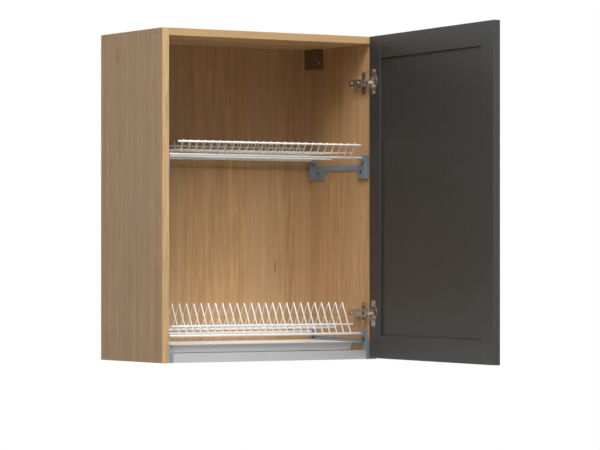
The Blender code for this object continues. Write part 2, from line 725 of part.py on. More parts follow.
def bars(paths, radius, resolution):
    """Round bars of one radius, each along a list of points, as separate bodies of one mesh."""
    curve = bpy.data.curves.new("bars", "CURVE")
    curve.dimensions = "3D"
    curve.fill_mode = "FULL"
    curve.bevel_depth = radius
    curve.bevel_resolution = resolution
    curve.use_fill_caps = True
    for path in paths:
        spline = curve.splines.new("POLY")
        spline.points.add(len(path) - 1)
        for knot, point in zip(spline.points, path):
            knot.co = (*point, 1)
    drawn = bpy.data.objects.new("bars", curve)
    bpy.context.scene.collection.objects.link(drawn)
    bpy.context.view_layer.update()
    mesh = bpy.data.meshes.new_from_object(drawn.evaluated_get(bpy.context.evaluated_depsgraph_get()))
    bpy.data.objects.remove(drawn)
    bm = bmesh.new()
    bm.from_mesh(mesh)
    bmesh.ops.remove_doubles(bm, verts=bm.verts, dist=MERGE)
    return as_object(bm)


def welded_rack(thick_rails, slim_rails, wires):
    """Rails and wires joined where they cross, as their spot welds join them."""
    thick = bars(thick_rails, RAIL_RADIUS, RAIL_ROUNDING)
    slim = bars(slim_rails, SLIM_RAIL_RADIUS, WIRE_ROUNDING)
    return fuse(bars(wires, WIRE_RADIUS, WIRE_ROUNDING), thick, slim)


def rail_path(half, ahead, height):
    return [(-half, -ahead, height), (half, -ahead, height)]


def wire_places():
    return [WIRE_PITCH * i - WIRE_HALF for i in range(2 * WIRES_ASIDE + 1)]


def past_rail(bend, rail, touch, way):
    """Tip of a straight wire from a bend that runs just past a rail, on the rack's inner side."""
    start = Vector(bend)
    line = Vector(rail) - start
    lean = math.asin(touch / line.length)
    reach = math.sqrt(line.length ** 2 - touch ** 2) + WIRE_TIP
    return start + rotated(line.normalized() * reach, way * math.degrees(lean))


def cup_rack():
    """Flat rack of cross wires on three rails, turned up at both ends to a slim rail each."""
    rail = UPPER_RAIL_HEIGHT
    front, rear = FRONT_RAIL_AHEAD, REAR_RAIL_AHEAD
    floor = rail + RAIL_RADIUS + WIRE_RADIUS - WELD
    touch = SLIM_RAIL_RADIUS + WIRE_RADIUS - WELD
    front_top = (front + CUP_FRONT_LEAN, rail + CUP_FRONT_RISE)
    rear_top = (rear - CUP_REAR_LEAN, rail + CUP_REAR_RISE)
    front_bend, rear_bend = (front + WIRE_BEND / 2, floor), (rear - WIRE_BEND / 2, floor)
    path = [
        past_rail(front_bend, front_top, touch, 1),
        front_bend,
        rear_bend,
        past_rail(rear_bend, rear_top, touch, -1),
    ]
    path = rounded(path, WIRE_BEND, WIRE_BEND_STEPS)
    thick = [
        rail_path(RAIL_HALF, front, rail),
        rail_path(RAIL_HALF, rear, rail),
        rail_path(SLIM_HALF, CUP_MIDDLE_AHEAD, rail),
    ]
    slim = [rail_path(SLIM_HALF, *front_top), rail_path(SLIM_HALF, *rear_top)]
    wires = [[(x, -ahead, height) for ahead, height in path] for x in wire_places()]
    return welded_rack(thick, slim, wires)


def beside(start, end, share, away):
    """A point at a share of the way between two points, moved square to the line, downwards."""
    along = (end - start).normalized()
    square = Vector((along.y, -along.x))
    if square.y > 0:
        square = -square
    return start.lerp(end, share) + square * away


def plate_rack():
    """Rack of standing loops: each wire rises from the front rail, drops behind and runs to the rear."""
    rail = LOWER_RAIL_HEIGHT
    front, rear = FRONT_RAIL_AHEAD, REAR_RAIL_AHEAD
    reach = RAIL_RADIUS + WIRE_RADIUS - WELD
    touch = SLIM_RAIL_RADIUS + WIRE_RADIUS - WELD
    foot = Vector((front + reach, rail - PLATE_FOOT_DROP))
    peak = Vector((PLATE_PEAK_AHEAD, PLATE_PEAK_HEIGHT))
    valley = Vector((PLATE_VALLEY_AHEAD, PLATE_VALLEY_HEIGHT))
    tail = Vector((rear - PLATE_WIRE_TAIL, rail + reach))
    path = rounded([foot, peak, valley, tail], PLATE_PEAK_BEND, WIRE_BEND_STEPS)
    leg_share = (PLATE_FRONT_RAIL_HEIGHT - foot.y) / (peak.y - foot.y)
    floor_share = PLATE_CROSS_RAIL_BEHIND / (valley - tail).length
    slim = [
        rail_path(SLIM_HALF, *beside(foot, peak, leg_share, touch)),
        rail_path(SLIM_HALF, *beside(valley, tail, floor_share, touch)),
    ]
    thick = [rail_path(RAIL_HALF, front, rail), rail_path(RAIL_HALF, rear, rail)]
    wires = [[(x, -ahead, height) for ahead, height in path] for x in wire_places()]
    return welded_rack(thick, slim, wires)


def tray_ring(bm, inset, height):
    """One rounded rectangle of the tray, drawn in from its outer edge."""
    left, right = TRAY_LEFT + inset, TRAY_RIGHT - inset
    front, rear = CARCASS_DEPTH - TRAY_FRONT_BEHIND - inset, TRAY_REAR_AHEAD + inset
    middle = Vector((left + right, -front - rear)) / 2
    corners = [(right, -rear, 0), (left, -rear, 90), (left, -front, 180), (right, -front, 270)]
    ring = []
    for x, y, start in corners:
        centre = (
            x - math.copysign(TRAY_CORNER, x - middle.x),
            y - math.copysign(TRAY_CORNER, y - middle.y),
        )
        for a, b in arc(centre, TRAY_CORNER, start, start + 90, TRAY_CORNER_STEPS):
            ring.append(bm.verts.new((a, b, height)))
    return ring


def drip_tray():
    """A pressed tray: floor, drafted walls and a flat rim that lies on the brackets' ledges."""
    wall = TRAY_RIM + TRAY_DRAFT
    under = TRAY_TOP - TRAY_SHEET
    rings = [
        (wall + TRAY_SHEET, TRAY_BOTTOM + TRAY_SHEET),
        (TRAY_RIM + TRAY_SHEET, TRAY_TOP),
        (0, TRAY_TOP),
        (0, under),
        (TRAY_RIM, under),
        (wall, TRAY_BOTTOM),
    ]
    bm = bmesh.new()
    loops = [tray_ring(bm, inset, height) for inset, height in rings]
    for one, two in zip(loops, loops[1:]):
        for i, vert in enumerate(one):
            j = (i + 1) % len(one)
            bm.faces.new((vert, one[j], two[j], two[i]))
    bm.faces.new(loops[0])
    bm.faces.new(loops[-1])
    return as_object(bm)


# Door

def door_point(along, deep, height):
    """Place on the closed door: from its hinge edge, from its inner face and from its bottom."""
    return (HALF_WIDTH - DOOR_SIDE_GAP - along, DOOR_FACE - deep, DOOR_BOTTOM + height)


def door_box(along, deep, height, edge=0.0):
    """A block in the closed door, from ranges along, deep and high."""
    corners = [door_point(a, d, h) for a, d, h in zip(along, deep, height)]
    low = tuple(min(values) for values in zip(*corners))
    high = tuple(max(values) for values in zip(*corners))
    return box(low, high, edge)


def panel_slot(along, height):
    """Cutter for the groove that holds the door panel."""
    deep = (PANEL_RECESS - GAP, PANEL_RECESS + PANEL_THICKNESS + GAP)
    return door_box(along, deep, height)


def door_stile(start):
    """An upright of the door frame, full height, grooved on its inner side."""
    ends = (start, start + STILE_WIDTH)
    stile = door_box(ends, (0, DOOR_THICKNESS), (0, DOOR_HEIGHT), DOOR_EDGE)
    depth = TONGUE + GAP
    groove = (ends[1] - depth, ends[1] + OVERRUN) if start == 0 else (ends[0] - OVERRUN, ends[0] + depth)
    tools = [panel_slot(groove, (STILE_WIDTH - depth, DOOR_HEIGHT - STILE_WIDTH + depth))]
    if start == 0:
        for middle in HINGE_HEIGHTS.values():
            centre = door_point(CUP_CENTRE, 0, middle - DOOR_BOTTOM)
            radius, depth = CUP_RADIUS + GAP, CUP_DEPTH + GAP
            tools.append(cylinder(centre, (0, -1, 0), radius, -OVERRUN, depth, CUP_SIDES))
            for step in (-CUP_SCREW_SPREAD / 2, CUP_SCREW_SPREAD / 2):
                spot = door_point(CUP_CENTRE + CUP_SCREW_OFFSET, 0, middle - DOOR_BOTTOM + step)
                tools.append(cylinder(spot, (0, -1, 0), SCREW_BORE, -OVERRUN, SCREW_LENGTH, SCREW_SIDES))
    return cut(stile, *tools)


def door_rail(low, through):
    """A cross rail between the stiles, with the hole or the pilot for a handle."""
    along = (STILE_WIDTH + GAP, DOOR_WIDTH - STILE_WIDTH - GAP)
    rail = door_box(along, (0, DOOR_THICKNESS), (low, low + STILE_WIDTH), DOOR_EDGE)
    depth = TONGUE + GAP
    if through:
        groove = (low + STILE_WIDTH - depth, low + STILE_WIDTH + OVERRUN)
        height, reach = HANDLE_HOLE_INSET, DOOR_THICKNESS + OVERRUN
    else:
        groove = (low - OVERRUN, low + depth)
        height, reach = DOOR_HEIGHT - HANDLE_HOLE_INSET, PILOT_DEPTH
    centre = door_point(DOOR_WIDTH / 2, 0, height)
    hole = cylinder(centre, (0, -1, 0), HANDLE_HOLE_RADIUS, -OVERRUN, reach, BORE_SIDES)
    return cut(rail, panel_slot((0, DOOR_WIDTH), groove), hole)


def door_panel():
    """The thin panel, held by its edges in the frame's grooves."""
    margin = STILE_WIDTH - TONGUE
    deep = (PANEL_RECESS, PANEL_RECESS + PANEL_THICKNESS)
    return door_box((margin, DOOR_WIDTH - margin), deep, (margin, DOOR_HEIGHT - margin))


# Concealed hinges

def door_plan(along, deep):
    """Plan place of a point on the closed door, from its hinge edge and its inner face."""
    return Vector(door_point(along, deep, 0)[:2])


def outer_link_places():
    """Plan places of the long link's arm pin, elbow and cup pin with the door closed."""
    arm = Vector((INNER_HALF - OUTER_PIVOT_OFF, -CARCASS_DEPTH + OUTER_PIVOT_BEHIND))
    return arm, door_plan(OUTER_ELBOW_IN, OUTER_ELBOW_DEEP), door_plan(OUTER_PIN_IN, OUTER_PIN_DEEP)


def inner_link_places():
    """Plan places of the short link's arm pin, elbow and free tip with the door closed."""
    arm = Vector((INNER_HALF - INNER_PIVOT_OFF, -CARCASS_DEPTH - INNER_PIVOT_AHEAD))
    return arm, door_plan(INNER_ELBOW_IN, INNER_ELBOW_DEEP), door_plan(INNER_PIN_IN, INNER_PIN_DEEP)


def heading(start, end):
    line = end - start
    return math.degrees(math.atan2(line.y, line.x))


def cranked_outline(start, elbow, end, half):
    """Outline of a strip with round ends that turns left at its elbow."""
    first, second = heading(start, elbow), heading(elbow, end)
    turn = math.radians(second - first) / 2
    middle = math.radians((first + second) / 2 + 90)
    inside = elbow + Vector((math.cos(middle), math.sin(middle))) * (half / math.cos(turn))
    outline = arc(start, half, first + 90, first + 270, LINK_STEPS)
    outline += arc(elbow, half, first - 90, second - 90, LINK_STEPS)
    outline += arc(end, half, second - 90, second + 90, LINK_STEPS)
    return outline + [tuple(inside)]


def outer_link(middle):
    """The long link: a barrel on the arm's pin and two cheeks, between which the short link passes."""
    arm, elbow, cup = outer_link_places()
    half = OUTER_LINK_HEIGHT / 2
    body = prism(cranked_outline(arm, elbow, cup, OUTER_LINK_HALF), "Z", middle - half, middle + half)
    inside = half - OUTER_CHEEK
    along = (elbow - arm).normalized()
    square = Vector((-along.y, along.x)) * (elbow - arm).length
    start, end = arm + along * OUTER_BARREL, cup + along * OUTER_BARREL
    corners = [start - square, end - square, end + square, start + square]
    tools = [prism([tuple(corner) for corner in corners], "Z", middle - inside, middle + inside)]
    for pin in (arm, cup):
        low, high = -half - OVERRUN, half + OVERRUN
        tools.append(cylinder((*pin, middle), (0, 0, 1), PIN_BORE, low, high, PIN_SIDES))
    return cut(body, *tools)


def inner_link(middle):
    """The short link: an eye on the arm's pin and a tip that lies where the cup's second pin is."""
    arm, elbow, cup = inner_link_places()
    half = INNER_LINK_HEIGHT / 2
    body = prism(cranked_outline(arm, elbow, cup, INNER_LINK_HALF), "Z", middle - half, middle + half)
    low, high = -half - OVERRUN, half + OVERRUN
    return cut(body, cylinder((*arm, middle), (0, 0, 1), PIN_BORE, low, high, PIN_SIDES))


def hinge_plate(middle):
    """Mounting plate: two wings, a ridge for the arm and a round pad behind it."""
    ahead = CARCASS_DEPTH - WING_BEHIND
    wings = side_box(
        1,
        (GAP, GAP + WING_THICKNESS),
        (ahead - WING_WIDTH / 2, ahead + WING_WIDTH / 2),
        (middle - WING_HEIGHT / 2, middle + WING_HEIGHT / 2),
    )
    ridge = side_box(
        1,
        (GAP, ARM_RISE - ARM_SHEET - GAP),
        (CARCASS_DEPTH - ARM_REAR + OVERRUN, CARCASS_DEPTH - RIDGE_FRONT),
        (middle - RIDGE_WIDTH / 2, middle + RIDGE_WIDTH / 2),
    )
    pad_centre = (INNER_HALF, -CARCASS_DEPTH + DISC_BEHIND, middle)
    pad_end = GAP + DISC_THICKNESS
    pad = cylinder(pad_centre, (-1, 0, 0), DISC_RADIUS, GAP, pad_end, CUP_SIDES)
    tools = []
    for step in (-PLATE_SCREW_SPREAD / 2, PLATE_SCREW_SPREAD / 2):
        centre = (INNER_HALF, -ahead, middle + step)
        end = WING_THICKNESS + OVERRUN
        tools.append(cylinder(centre, (-1, 0, 0), SCREW_BORE, -OVERRUN, end, SCREW_SIDES))
    for behind in ADJUSTERS_BEHIND:
        centre = (INNER_HALF, -CARCASS_DEPTH + behind, middle)
        start = ARM_RISE - ADJUSTER_REACH - LAP
        radius = ADJUSTER_RADIUS + GAP
        tools.append(cylinder(centre, (-1, 0, 0), radius, start, ARM_RISE, SCREW_SIDES))
    return cut(fuse(wings, ridge, pad), *tools)


def hinge_arm(middle):
    """The channel-shaped arm over the ridge, whose cheeks run forward as a nose with the pins' holes."""
    pins = outer_link_places()[0], inner_link_places()[0]
    rear, front = -CARCASS_DEPTH + ARM_REAR, -CARCASS_DEPTH + ARM_FRONT
    half = ARM_HEIGHT / 2
    nose_tip = pins[1].y - NOSE_RADIUS - OVERRUN
    back, cover = INNER_HALF - ARM_FOOT, INNER_HALF - ARM_RISE
    outline = [(back, rear), (back, -CARCASS_DEPTH + RIDGE_FRONT)]
    outline += arc(pins[0], NOSE_RADIUS, -45, -60, 1)
    outline += arc(pins[1], NOSE_RADIUS, -20, -180, LINK_STEPS)
    outline += [(cover, front), (cover, rear)]
    body = prism(outline, "Z", middle - half, middle + half)
    inside = half - ARM_SHEET
    channel = box(
        (cover + ARM_SHEET, nose_tip, middle - inside),
        (INNER_HALF, rear + OVERRUN, middle + inside),
    )
    nose_slot = box(
        (cover - OVERRUN, nose_tip, middle - inside),
        (INNER_HALF, front, middle + inside),
    )
    tools = [channel, nose_slot]
    for pin in pins:
        start, end = -half - OVERRUN, half + OVERRUN
        tools.append(cylinder((*pin, middle), (0, 0, 1), PIN_BORE, start, end, PIN_SIDES))
    return fuse(cut(body, *tools), *[adjuster(behind, middle) for behind in ADJUSTERS_BEHIND])


def hinge_pin(place, middle):
    """A riveted pin through both cheeks of an arm's nose."""
    half = ARM_HEIGHT / 2
    return cylinder((*place, middle), (0, 0, 1), PIN_RADIUS, -half, half, PIN_SIDES)


def adjuster(behind, middle):
    """A fixing or adjusting screw on the arm's back, which reaches into the ridge."""
    seat = ARM_RISE - LAP
    profile = [
        (0, ARM_RISE - ADJUSTER_REACH), (ADJUSTER_RADIUS, ARM_RISE - ADJUSTER_REACH),
        (ADJUSTER_RADIUS, seat), (ADJUSTER_HEAD_RADIUS, seat),
        (ADJUSTER_HEAD_RADIUS, ARM_RISE + ADJUSTER_HEAD), (0, ARM_RISE + ADJUSTER_HEAD),
    ]
    return turned(profile, (INNER_HALF, -CARCASS_DEPTH + behind, middle), (-1, 0, 0), SCREW_SIDES)


def hinge_plate_screw(height):
    """A wood screw through a wing of a mounting plate."""
    face = INNER_HALF - GAP - WING_THICKNESS
    return wood_screw((face, -CARCASS_DEPTH + WING_BEHIND, height), (1, 0, 0))


def cup_plate_outline():
    """Outline of the cup's plate: a round rim with a wing above and below."""
    half_width, half_height = CUP_PLATE_WIDTH / 2, CUP_PLATE_HEIGHT / 2
    spread = math.degrees(math.acos(half_width / CUP_RIM_RADIUS))
    inner_x, inner_y = half_width - CUP_PLATE_CORNER, half_height - CUP_PLATE_CORNER
    outline = arc((0, 0), CUP_RIM_RADIUS, -spread, spread, BORE_SIDES // 2)
    outline += arc((inner_x, inner_y), CUP_PLATE_CORNER, 0, 90, BEND_STEPS)
    outline += arc((-inner_x, inner_y), CUP_PLATE_CORNER, 90, 180, BEND_STEPS)
    outline += arc((0, 0), CUP_RIM_RADIUS, 180 - spread, 180 + spread, BORE_SIDES // 2)
    outline += arc((-inner_x, -inner_y), CUP_PLATE_CORNER, 180, 270, BEND_STEPS)
    outline += arc((inner_x, -inner_y), CUP_PLATE_CORNER, 270, 360, BEND_STEPS)
    return outline


def hinge_cup(middle):
    """The cup in the door: a screwed-on plate with a bowl in the stile, and the outer pin's stubs."""
    x, face, z = door_point(CUP_CENTRE, 0, middle - DOOR_BOTTOM)
    outline = [(x + a, z + b) for a, b in cup_plate_outline()]
    front = face + GAP + CUP_PLATE_THICKNESS
    plate = prism(outline, "Y", face + GAP, front)
    inner, floor = CUP_RADIUS - CUP_WALL, CUP_DEPTH - CUP_WALL
    bowl = cylinder((x, face, z), (0, -1, 0), CUP_RADIUS, -GAP - LAP, CUP_DEPTH, CUP_SIDES)
    mouth = -GAP - CUP_PLATE_THICKNESS - OVERRUN
    hollow = cylinder((x, face, z), (0, -1, 0), inner, mouth, floor, CUP_SIDES)
    extras = []
    for step in (-CUP_SCREW_SPREAD / 2, CUP_SCREW_SPREAD / 2):
        spot = door_point(CUP_CENTRE + CUP_SCREW_OFFSET, 0, middle - DOOR_BOTTOM + step)
        extras.append(wood_screw((spot[0], front - LAP, spot[2]), (0, -1, 0)))
    outer_cup = outer_link_places()[2]
    off_centre = CUP_CENTRE - OUTER_PIN_IN + PIN_RADIUS
    reach = math.sqrt((CUP_RADIUS - CUP_WALL / 2) ** 2 - off_centre ** 2)
    start = OUTER_LINK_HEIGHT / 2 - OUTER_CHEEK
    for way in (-1, 1):
        extras.append(cylinder((*outer_cup, middle), (0, 0, way), PIN_RADIUS, start, reach, PIN_SIDES))
    return fuse(cut(fuse(plate, bowl), hollow), *extras)


# Cabinet hangers

def hanger_housing(side):
    """The box of one hanger, open behind, with the screwdriver openings in its front."""
    off = (GAP, GAP + HANGER_WIDTH)
    back = (BACK_FRONT + GAP, HANGER_FRONT)
    height = (HANGER_LOW, HANGER_LOW + HANGER_HEIGHT)
    wall = HANGER_WALL
    shell = side_box(side, off, back, height)
    hollow = side_box(
        side,
        (off[0] + wall, off[1] - wall),
        (back[0] - OVERRUN, back[1] - wall),
        (height[0] + wall, height[1] - wall),
    )
    slot = side_box(
        side,
        (HANGER_MIDDLE - DEPTH_SCREW_HEAD_RADIUS, HANGER_MIDDLE + DEPTH_SCREW_HEAD_RADIUS),
        (back[1] - wall - LAP, back[1] + OVERRUN),
        (HOOK_MIDDLE - HANGER_TRAVEL, HOOK_MIDDLE + HANGER_TRAVEL),
    )
    centre = (side * (INNER_HALF - PINION_OFF), -back[1], PINION_HEIGHT)
    radius = PINION_HEAD_RADIUS + GAP
    hole = cylinder(centre, (0, 1, 0), radius, -OVERRUN, wall + OVERRUN, BORE_SIDES)
    return cut(shell, hollow, slot, hole)


def hanger_carriage(side):
    """The block that rides up and down in the housing and holds the depth screw."""
    near = HANGER_FRONT - HANGER_WALL - CARRIAGE_BEHIND_FRONT
    back = (near - CARRIAGE_DEPTH, near)
    left = GAP + HANGER_WALL + CARRIAGE_CLEARANCE
    right = GAP + HANGER_WIDTH - HANGER_WALL - CARRIAGE_CLEARANCE
    top = CARRIAGE_LOW + CARRIAGE_HEIGHT
    block = side_box(side, (left, right), back, (CARRIAGE_LOW, top))
    step = side_box(
        side,
        (RACK_FACE, right + OVERRUN),
        (back[0] - OVERRUN, back[1] + OVERRUN),
        (CARRIAGE_LOW - OVERRUN, CARRIAGE_LOW + CARRIAGE_STEP),
    )
    centre = (side * (INNER_HALF - HANGER_MIDDLE), -back[1], HOOK_MIDDLE)
    radius = DEPTH_SCREW_RADIUS + GAP
    hole = cylinder(centre, (0, 1, 0), radius, -OVERRUN, CARRIAGE_DEPTH + OVERRUN, BORE_SIDES)
    return cut(block, step, hole)


def hanger_hook(side):
    """The steel hook: an arm through the back, with a claw that drops behind the wall's rail."""
    low = HOOK_TOP - HOOK_HEIGHT
    claw_front = HOOK_CLAW_REAR + HOOK_CLAW_THICKNESS
    tip = low - HOOK_CLAW_DROP
    outline = [
        (HOOK_FRONT, HOOK_TOP), (HOOK_FRONT, low), (claw_front, low), (claw_front, tip + OVERRUN),
        (claw_front - OVERRUN, tip), (HOOK_CLAW_REAR, tip + OVERRUN), (HOOK_CLAW_REAR, HOOK_TOP),
    ]
    half = HOOK_THICKNESS / 2
    across = sorted(side * (INNER_HALF - HANGER_MIDDLE - way) for way in (-half, half))
    body = prism([(-ahead, height) for ahead, height in outline], "X", *across)
    centre = (side * (INNER_HALF - HANGER_MIDDLE), -HOOK_FRONT, HOOK_MIDDLE)
    end = HOOK_FRONT - DEPTH_SCREW_END + HANGER_TRAVEL + OVERRUN
    radius = DEPTH_SCREW_RADIUS + GAP
    return cut(body, cylinder(centre, (0, 1, 0), radius, -OVERRUN, end, BORE_SIDES))


def hanger_depth_screw(side):
    """The long screw that draws the hook in and out."""
    near = HANGER_FRONT - HANGER_WALL - CARRIAGE_BEHIND_FRONT
    length = near - DEPTH_SCREW_END
    profile = [
        (0, -GAP - DEPTH_SCREW_HEAD), (DEPTH_SCREW_HEAD_RADIUS, -GAP - DEPTH_SCREW_HEAD),
        (DEPTH_SCREW_HEAD_RADIUS, -GAP), (DEPTH_SCREW_RADIUS, -GAP),
        (DEPTH_SCREW_RADIUS, length), (0, length),
    ]
    centre = (side * (INNER_HALF - HANGER_MIDDLE), -near, HOOK_MIDDLE)
    return turned(profile, centre, (0, 1, 0), SCREW_SIDES)


def hanger_height_screw(side):
    """The short screw whose roller drives the carriage up and down."""
    inner = HANGER_WALL + GAP
    profile = [
        (0, inner - PINION_HEAD_LENGTH), (PINION_HEAD_RADIUS, inner - PINION_HEAD_LENGTH),
        (PINION_HEAD_RADIUS, inner), (PINION_RADIUS, inner),
        (PINION_RADIUS, inner + PINION_LENGTH), (0, inner + PINION_LENGTH),
    ]
    centre = (side * (INNER_HALF - PINION_OFF), -HANGER_FRONT, PINION_HEIGHT)
    return turned(profile, centre, (0, 1, 0), CUP_SIDES)


# Assembly

def build_carcass(base, finishes):
    for name, side in SIDES.items():
        base.carry(f"side_panel_{name}", side_panel(side), finishes["oak"])
    base.carry("top_panel", top_panel(), finishes["oak"])
    base.carry("back_panel", back_panel(), finishes["oak_back"])
    for name, side in SIDES.items():
        for place, back in zip(("rear", "front"), CARCASS_SCREWS_BACK):
            screw = carcass_screw(side, back)
            base.carry(f"carcass_screw_{name}_{place}", screw, finishes["cap"], True)
    base.carry("front_profile", channel_profile(True), finishes["aluminium"])
    base.carry("rear_profile", channel_profile(False), finishes["aluminium"])
    for name, side in SIDES.items():
        base.carry(f"upper_bracket_{name}", upper_bracket(side), finishes["plastic"])
        base.carry(f"lower_bracket_{name}", lower_bracket(side), finishes["plastic"])
        for place, (ahead, height) in bracket_screw_places(side).items():
            screw = bracket_screw(side, ahead, height)
            base.carry(f"bracket_screw_{name}_{place}", screw, finishes["zinc"], True)


def build_racks(base, finishes):
    rear = -REAR_RAIL_AHEAD
    upper = Carrier("cup_rack_lift", (0, rear, UPPER_RAIL_HEIGHT), under=base.empty)
    lower = Carrier("plate_rack_lift", (0, rear, LOWER_RAIL_HEIGHT), under=base.empty)
    slide = Carrier("tray_slide", (0, -CARCASS_DEPTH + TRAY_FRONT_BEHIND, TRAY_TOP), under=base.empty)
    upper.carry("cup_rack", cup_rack(), finishes["wire"])
    lower.carry("plate_rack", plate_rack(), finishes["wire"])
    slide.carry("drip_tray", drip_tray(), finishes["tray"])


def build_door(base, finishes):
    """The door hangs on the long links' outer pins, and the links on the arms' outer pins."""
    outer_arm, _, outer_cup = outer_link_places()
    inner_arm, _, inner_cup = inner_link_places()
    outer_rest = outer_arm + rotated(outer_cup - outer_arm, LINK_SWING)
    inner_rest = outer_rest + rotated(inner_cup - outer_cup, REST_ANGLE)
    inner_swing = heading(inner_arm, inner_rest) - heading(inner_arm, inner_cup)
    long_links = Carrier("outer_links", (*outer_arm, 0), angle=LINK_SWING, under=base.empty)
    short_links = Carrier("inner_links", (*inner_arm, 0), angle=inner_swing, under=base.empty)
    door = Carrier("door", (*outer_cup, 0), (*outer_rest, 0), REST_ANGLE, base.empty)
    door.carry("door_stile_hinge", door_stile(0), finishes["graphite"])
    door.carry("door_stile_free", door_stile(DOOR_WIDTH - STILE_WIDTH), finishes["graphite"])
    door.carry("door_rail_bottom", door_rail(0, True), finishes["graphite"])
    door.carry("door_rail_top", door_rail(DOOR_HEIGHT - STILE_WIDTH, False), finishes["graphite"])
    door.carry("door_panel", door_panel(), finishes["graphite"])
    for name, middle in HINGE_HEIGHTS.items():
        door.carry(f"hinge_cup_{name}", hinge_cup(middle), finishes["nickel"], True)
        long_links.carry(f"outer_link_{name}", outer_link(middle), finishes["nickel"], True)
        short_links.carry(f"inner_link_{name}", inner_link(middle), finishes["nickel"], True)
        base.carry(f"hinge_plate_{name}", hinge_plate(middle), finishes["nickel"])
        base.carry(f"hinge_arm_{name}", hinge_arm(middle), finishes["nickel"])
        for place, pin in zip(("outer", "inner"), (outer_arm, inner_arm)):
            base.carry(f"hinge_pin_{place}_{name}", hinge_pin(pin, middle), finishes["zinc"], True)
        for place, step in (("lower", -PLATE_SCREW_SPREAD / 2), ("upper", PLATE_SCREW_SPREAD / 2)):
            screw = hinge_plate_screw(middle + step)
            base.carry(f"hinge_plate_screw_{place}_{name}", screw, finishes["zinc"], True)


def build_hangers(base, finishes):
    for name, side in SIDES.items():
        base.carry(f"hanger_housing_{name}", hanger_housing(side), finishes["brown_plastic"])
        across = side * (INNER_HALF - HANGER_MIDDLE)
        driver = (side * (INNER_HALF - PINION_OFF), -HANGER_FRONT, PINION_HEIGHT)
        lift = Carrier(f"hanger_lift_{name}", (across, -HOOK_FRONT, CARRIAGE_LOW), under=base.empty)
        depth = Carrier(f"hanger_depth_{name}", (across, -HOOK_FRONT, HOOK_MIDDLE), under=base.empty)
        height = Carrier(f"hanger_height_{name}", driver, under=base.empty)
        lift.carry(f"hanger_carriage_{name}", hanger_carriage(side), finishes["zinc"])
        depth.carry(f"hanger_hook_{name}", hanger_hook(side), finishes["zinc"])
        depth.carry(f"hanger_depth_screw_{name}", hanger_depth_screw(side), finishes["zinc"], True)
        height.carry(f"hanger_height_screw_{name}", hanger_height_screw(side), finishes["zinc"], True)


def main():
    for item in list(bpy.data.objects):
        bpy.data.objects.remove(item, do_unlink=True)
    finishes = make_finishes()
    base = Carrier("cabinet", (0, 0, 0), (0, 0, -ORIGIN_HEIGHT))
    build_carcass(base, finishes)
    build_racks(base, finishes)
    build_door(base, finishes)
    build_hangers(base, finishes)


main()
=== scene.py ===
"""Looks of a wall-hung dish drying cabinet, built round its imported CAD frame.

Lengths are in metres and angles in degrees. The origin is the middle of the top panel's rear edge, on
the wall plane: +X to the right, +Y into the wall and +Z up. Heights named from the carcass bottom are
lowered by ORIGIN_HEIGHT.
"""

import logging
import math
from dataclasses import dataclass, field
from enum import Enum
from typing import Sequence

import bpy
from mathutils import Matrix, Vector
from mathutils.bvhtree import BVHTree


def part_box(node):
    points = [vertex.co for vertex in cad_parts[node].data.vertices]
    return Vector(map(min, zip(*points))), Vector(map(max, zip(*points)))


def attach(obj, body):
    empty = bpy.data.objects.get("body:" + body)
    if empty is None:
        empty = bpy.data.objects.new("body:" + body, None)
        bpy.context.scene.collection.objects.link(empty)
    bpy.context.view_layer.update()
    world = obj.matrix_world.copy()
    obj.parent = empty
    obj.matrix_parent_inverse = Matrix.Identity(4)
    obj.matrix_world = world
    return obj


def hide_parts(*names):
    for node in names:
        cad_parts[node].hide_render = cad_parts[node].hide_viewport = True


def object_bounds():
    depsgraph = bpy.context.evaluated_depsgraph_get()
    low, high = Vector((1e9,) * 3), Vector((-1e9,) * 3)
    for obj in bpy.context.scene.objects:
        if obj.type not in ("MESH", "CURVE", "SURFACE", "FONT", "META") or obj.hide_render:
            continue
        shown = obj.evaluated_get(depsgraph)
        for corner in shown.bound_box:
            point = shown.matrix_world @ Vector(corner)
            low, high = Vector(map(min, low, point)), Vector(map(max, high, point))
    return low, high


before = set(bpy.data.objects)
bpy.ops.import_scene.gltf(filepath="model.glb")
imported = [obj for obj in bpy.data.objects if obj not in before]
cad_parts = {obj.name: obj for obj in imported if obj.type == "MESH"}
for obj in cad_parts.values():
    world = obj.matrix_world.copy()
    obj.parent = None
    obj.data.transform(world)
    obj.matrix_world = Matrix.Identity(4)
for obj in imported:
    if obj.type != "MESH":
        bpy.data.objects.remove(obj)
CAD_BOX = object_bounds()
ORIGIN_HEIGHT = 0.779
CARCASS_FRONT = -0.305
MERGE_DISTANCE = 0.000002
EDGE_ANGLE = 28.0
BEVEL_SEGMENTS = 2
# A rounding is tried in these shares of its width, and a corner may stray by a share of what is tried
ROUNDING_SHARES = (1.0, 0.6, 0.35, 0.0)
STRAY_SHARE = 0.7
SMOOTH_ANGLE = 32.0
ROD_ANGLE = 50.0
RAIL_SIDES = 14
RAIL_TIP_SHARE = 0.3
RAIL_TIP_ANGLE = 60.0
LOG = logging.getLogger("drying_cabinet")

Point = tuple[float, float, float]
Plan = tuple[float, float]
Colour = tuple[float, float, float]
Line = tuple[Plan, float, float]
Inputs = dict[int | str, object]
Piece = bpy.types.Object
Socket = bpy.types.NodeSocket
Material = bpy.types.Material


class Side(Enum):
    """The two sides of the cabinet, seen from the front."""

    LEFT = "left"
    RIGHT = "right"


class Grain(Enum):
    """The way that a board's grain runs."""

    UPRIGHT = "upright"
    ACROSS = "across"

    def stretch(self, share: float) -> Point:
        """The stretch of a pattern that is drawn out along the grain."""
        return (1.0, 1.0, share) if self is Grain.UPRIGHT else (share, 1.0, 1.0)


# Shader maths


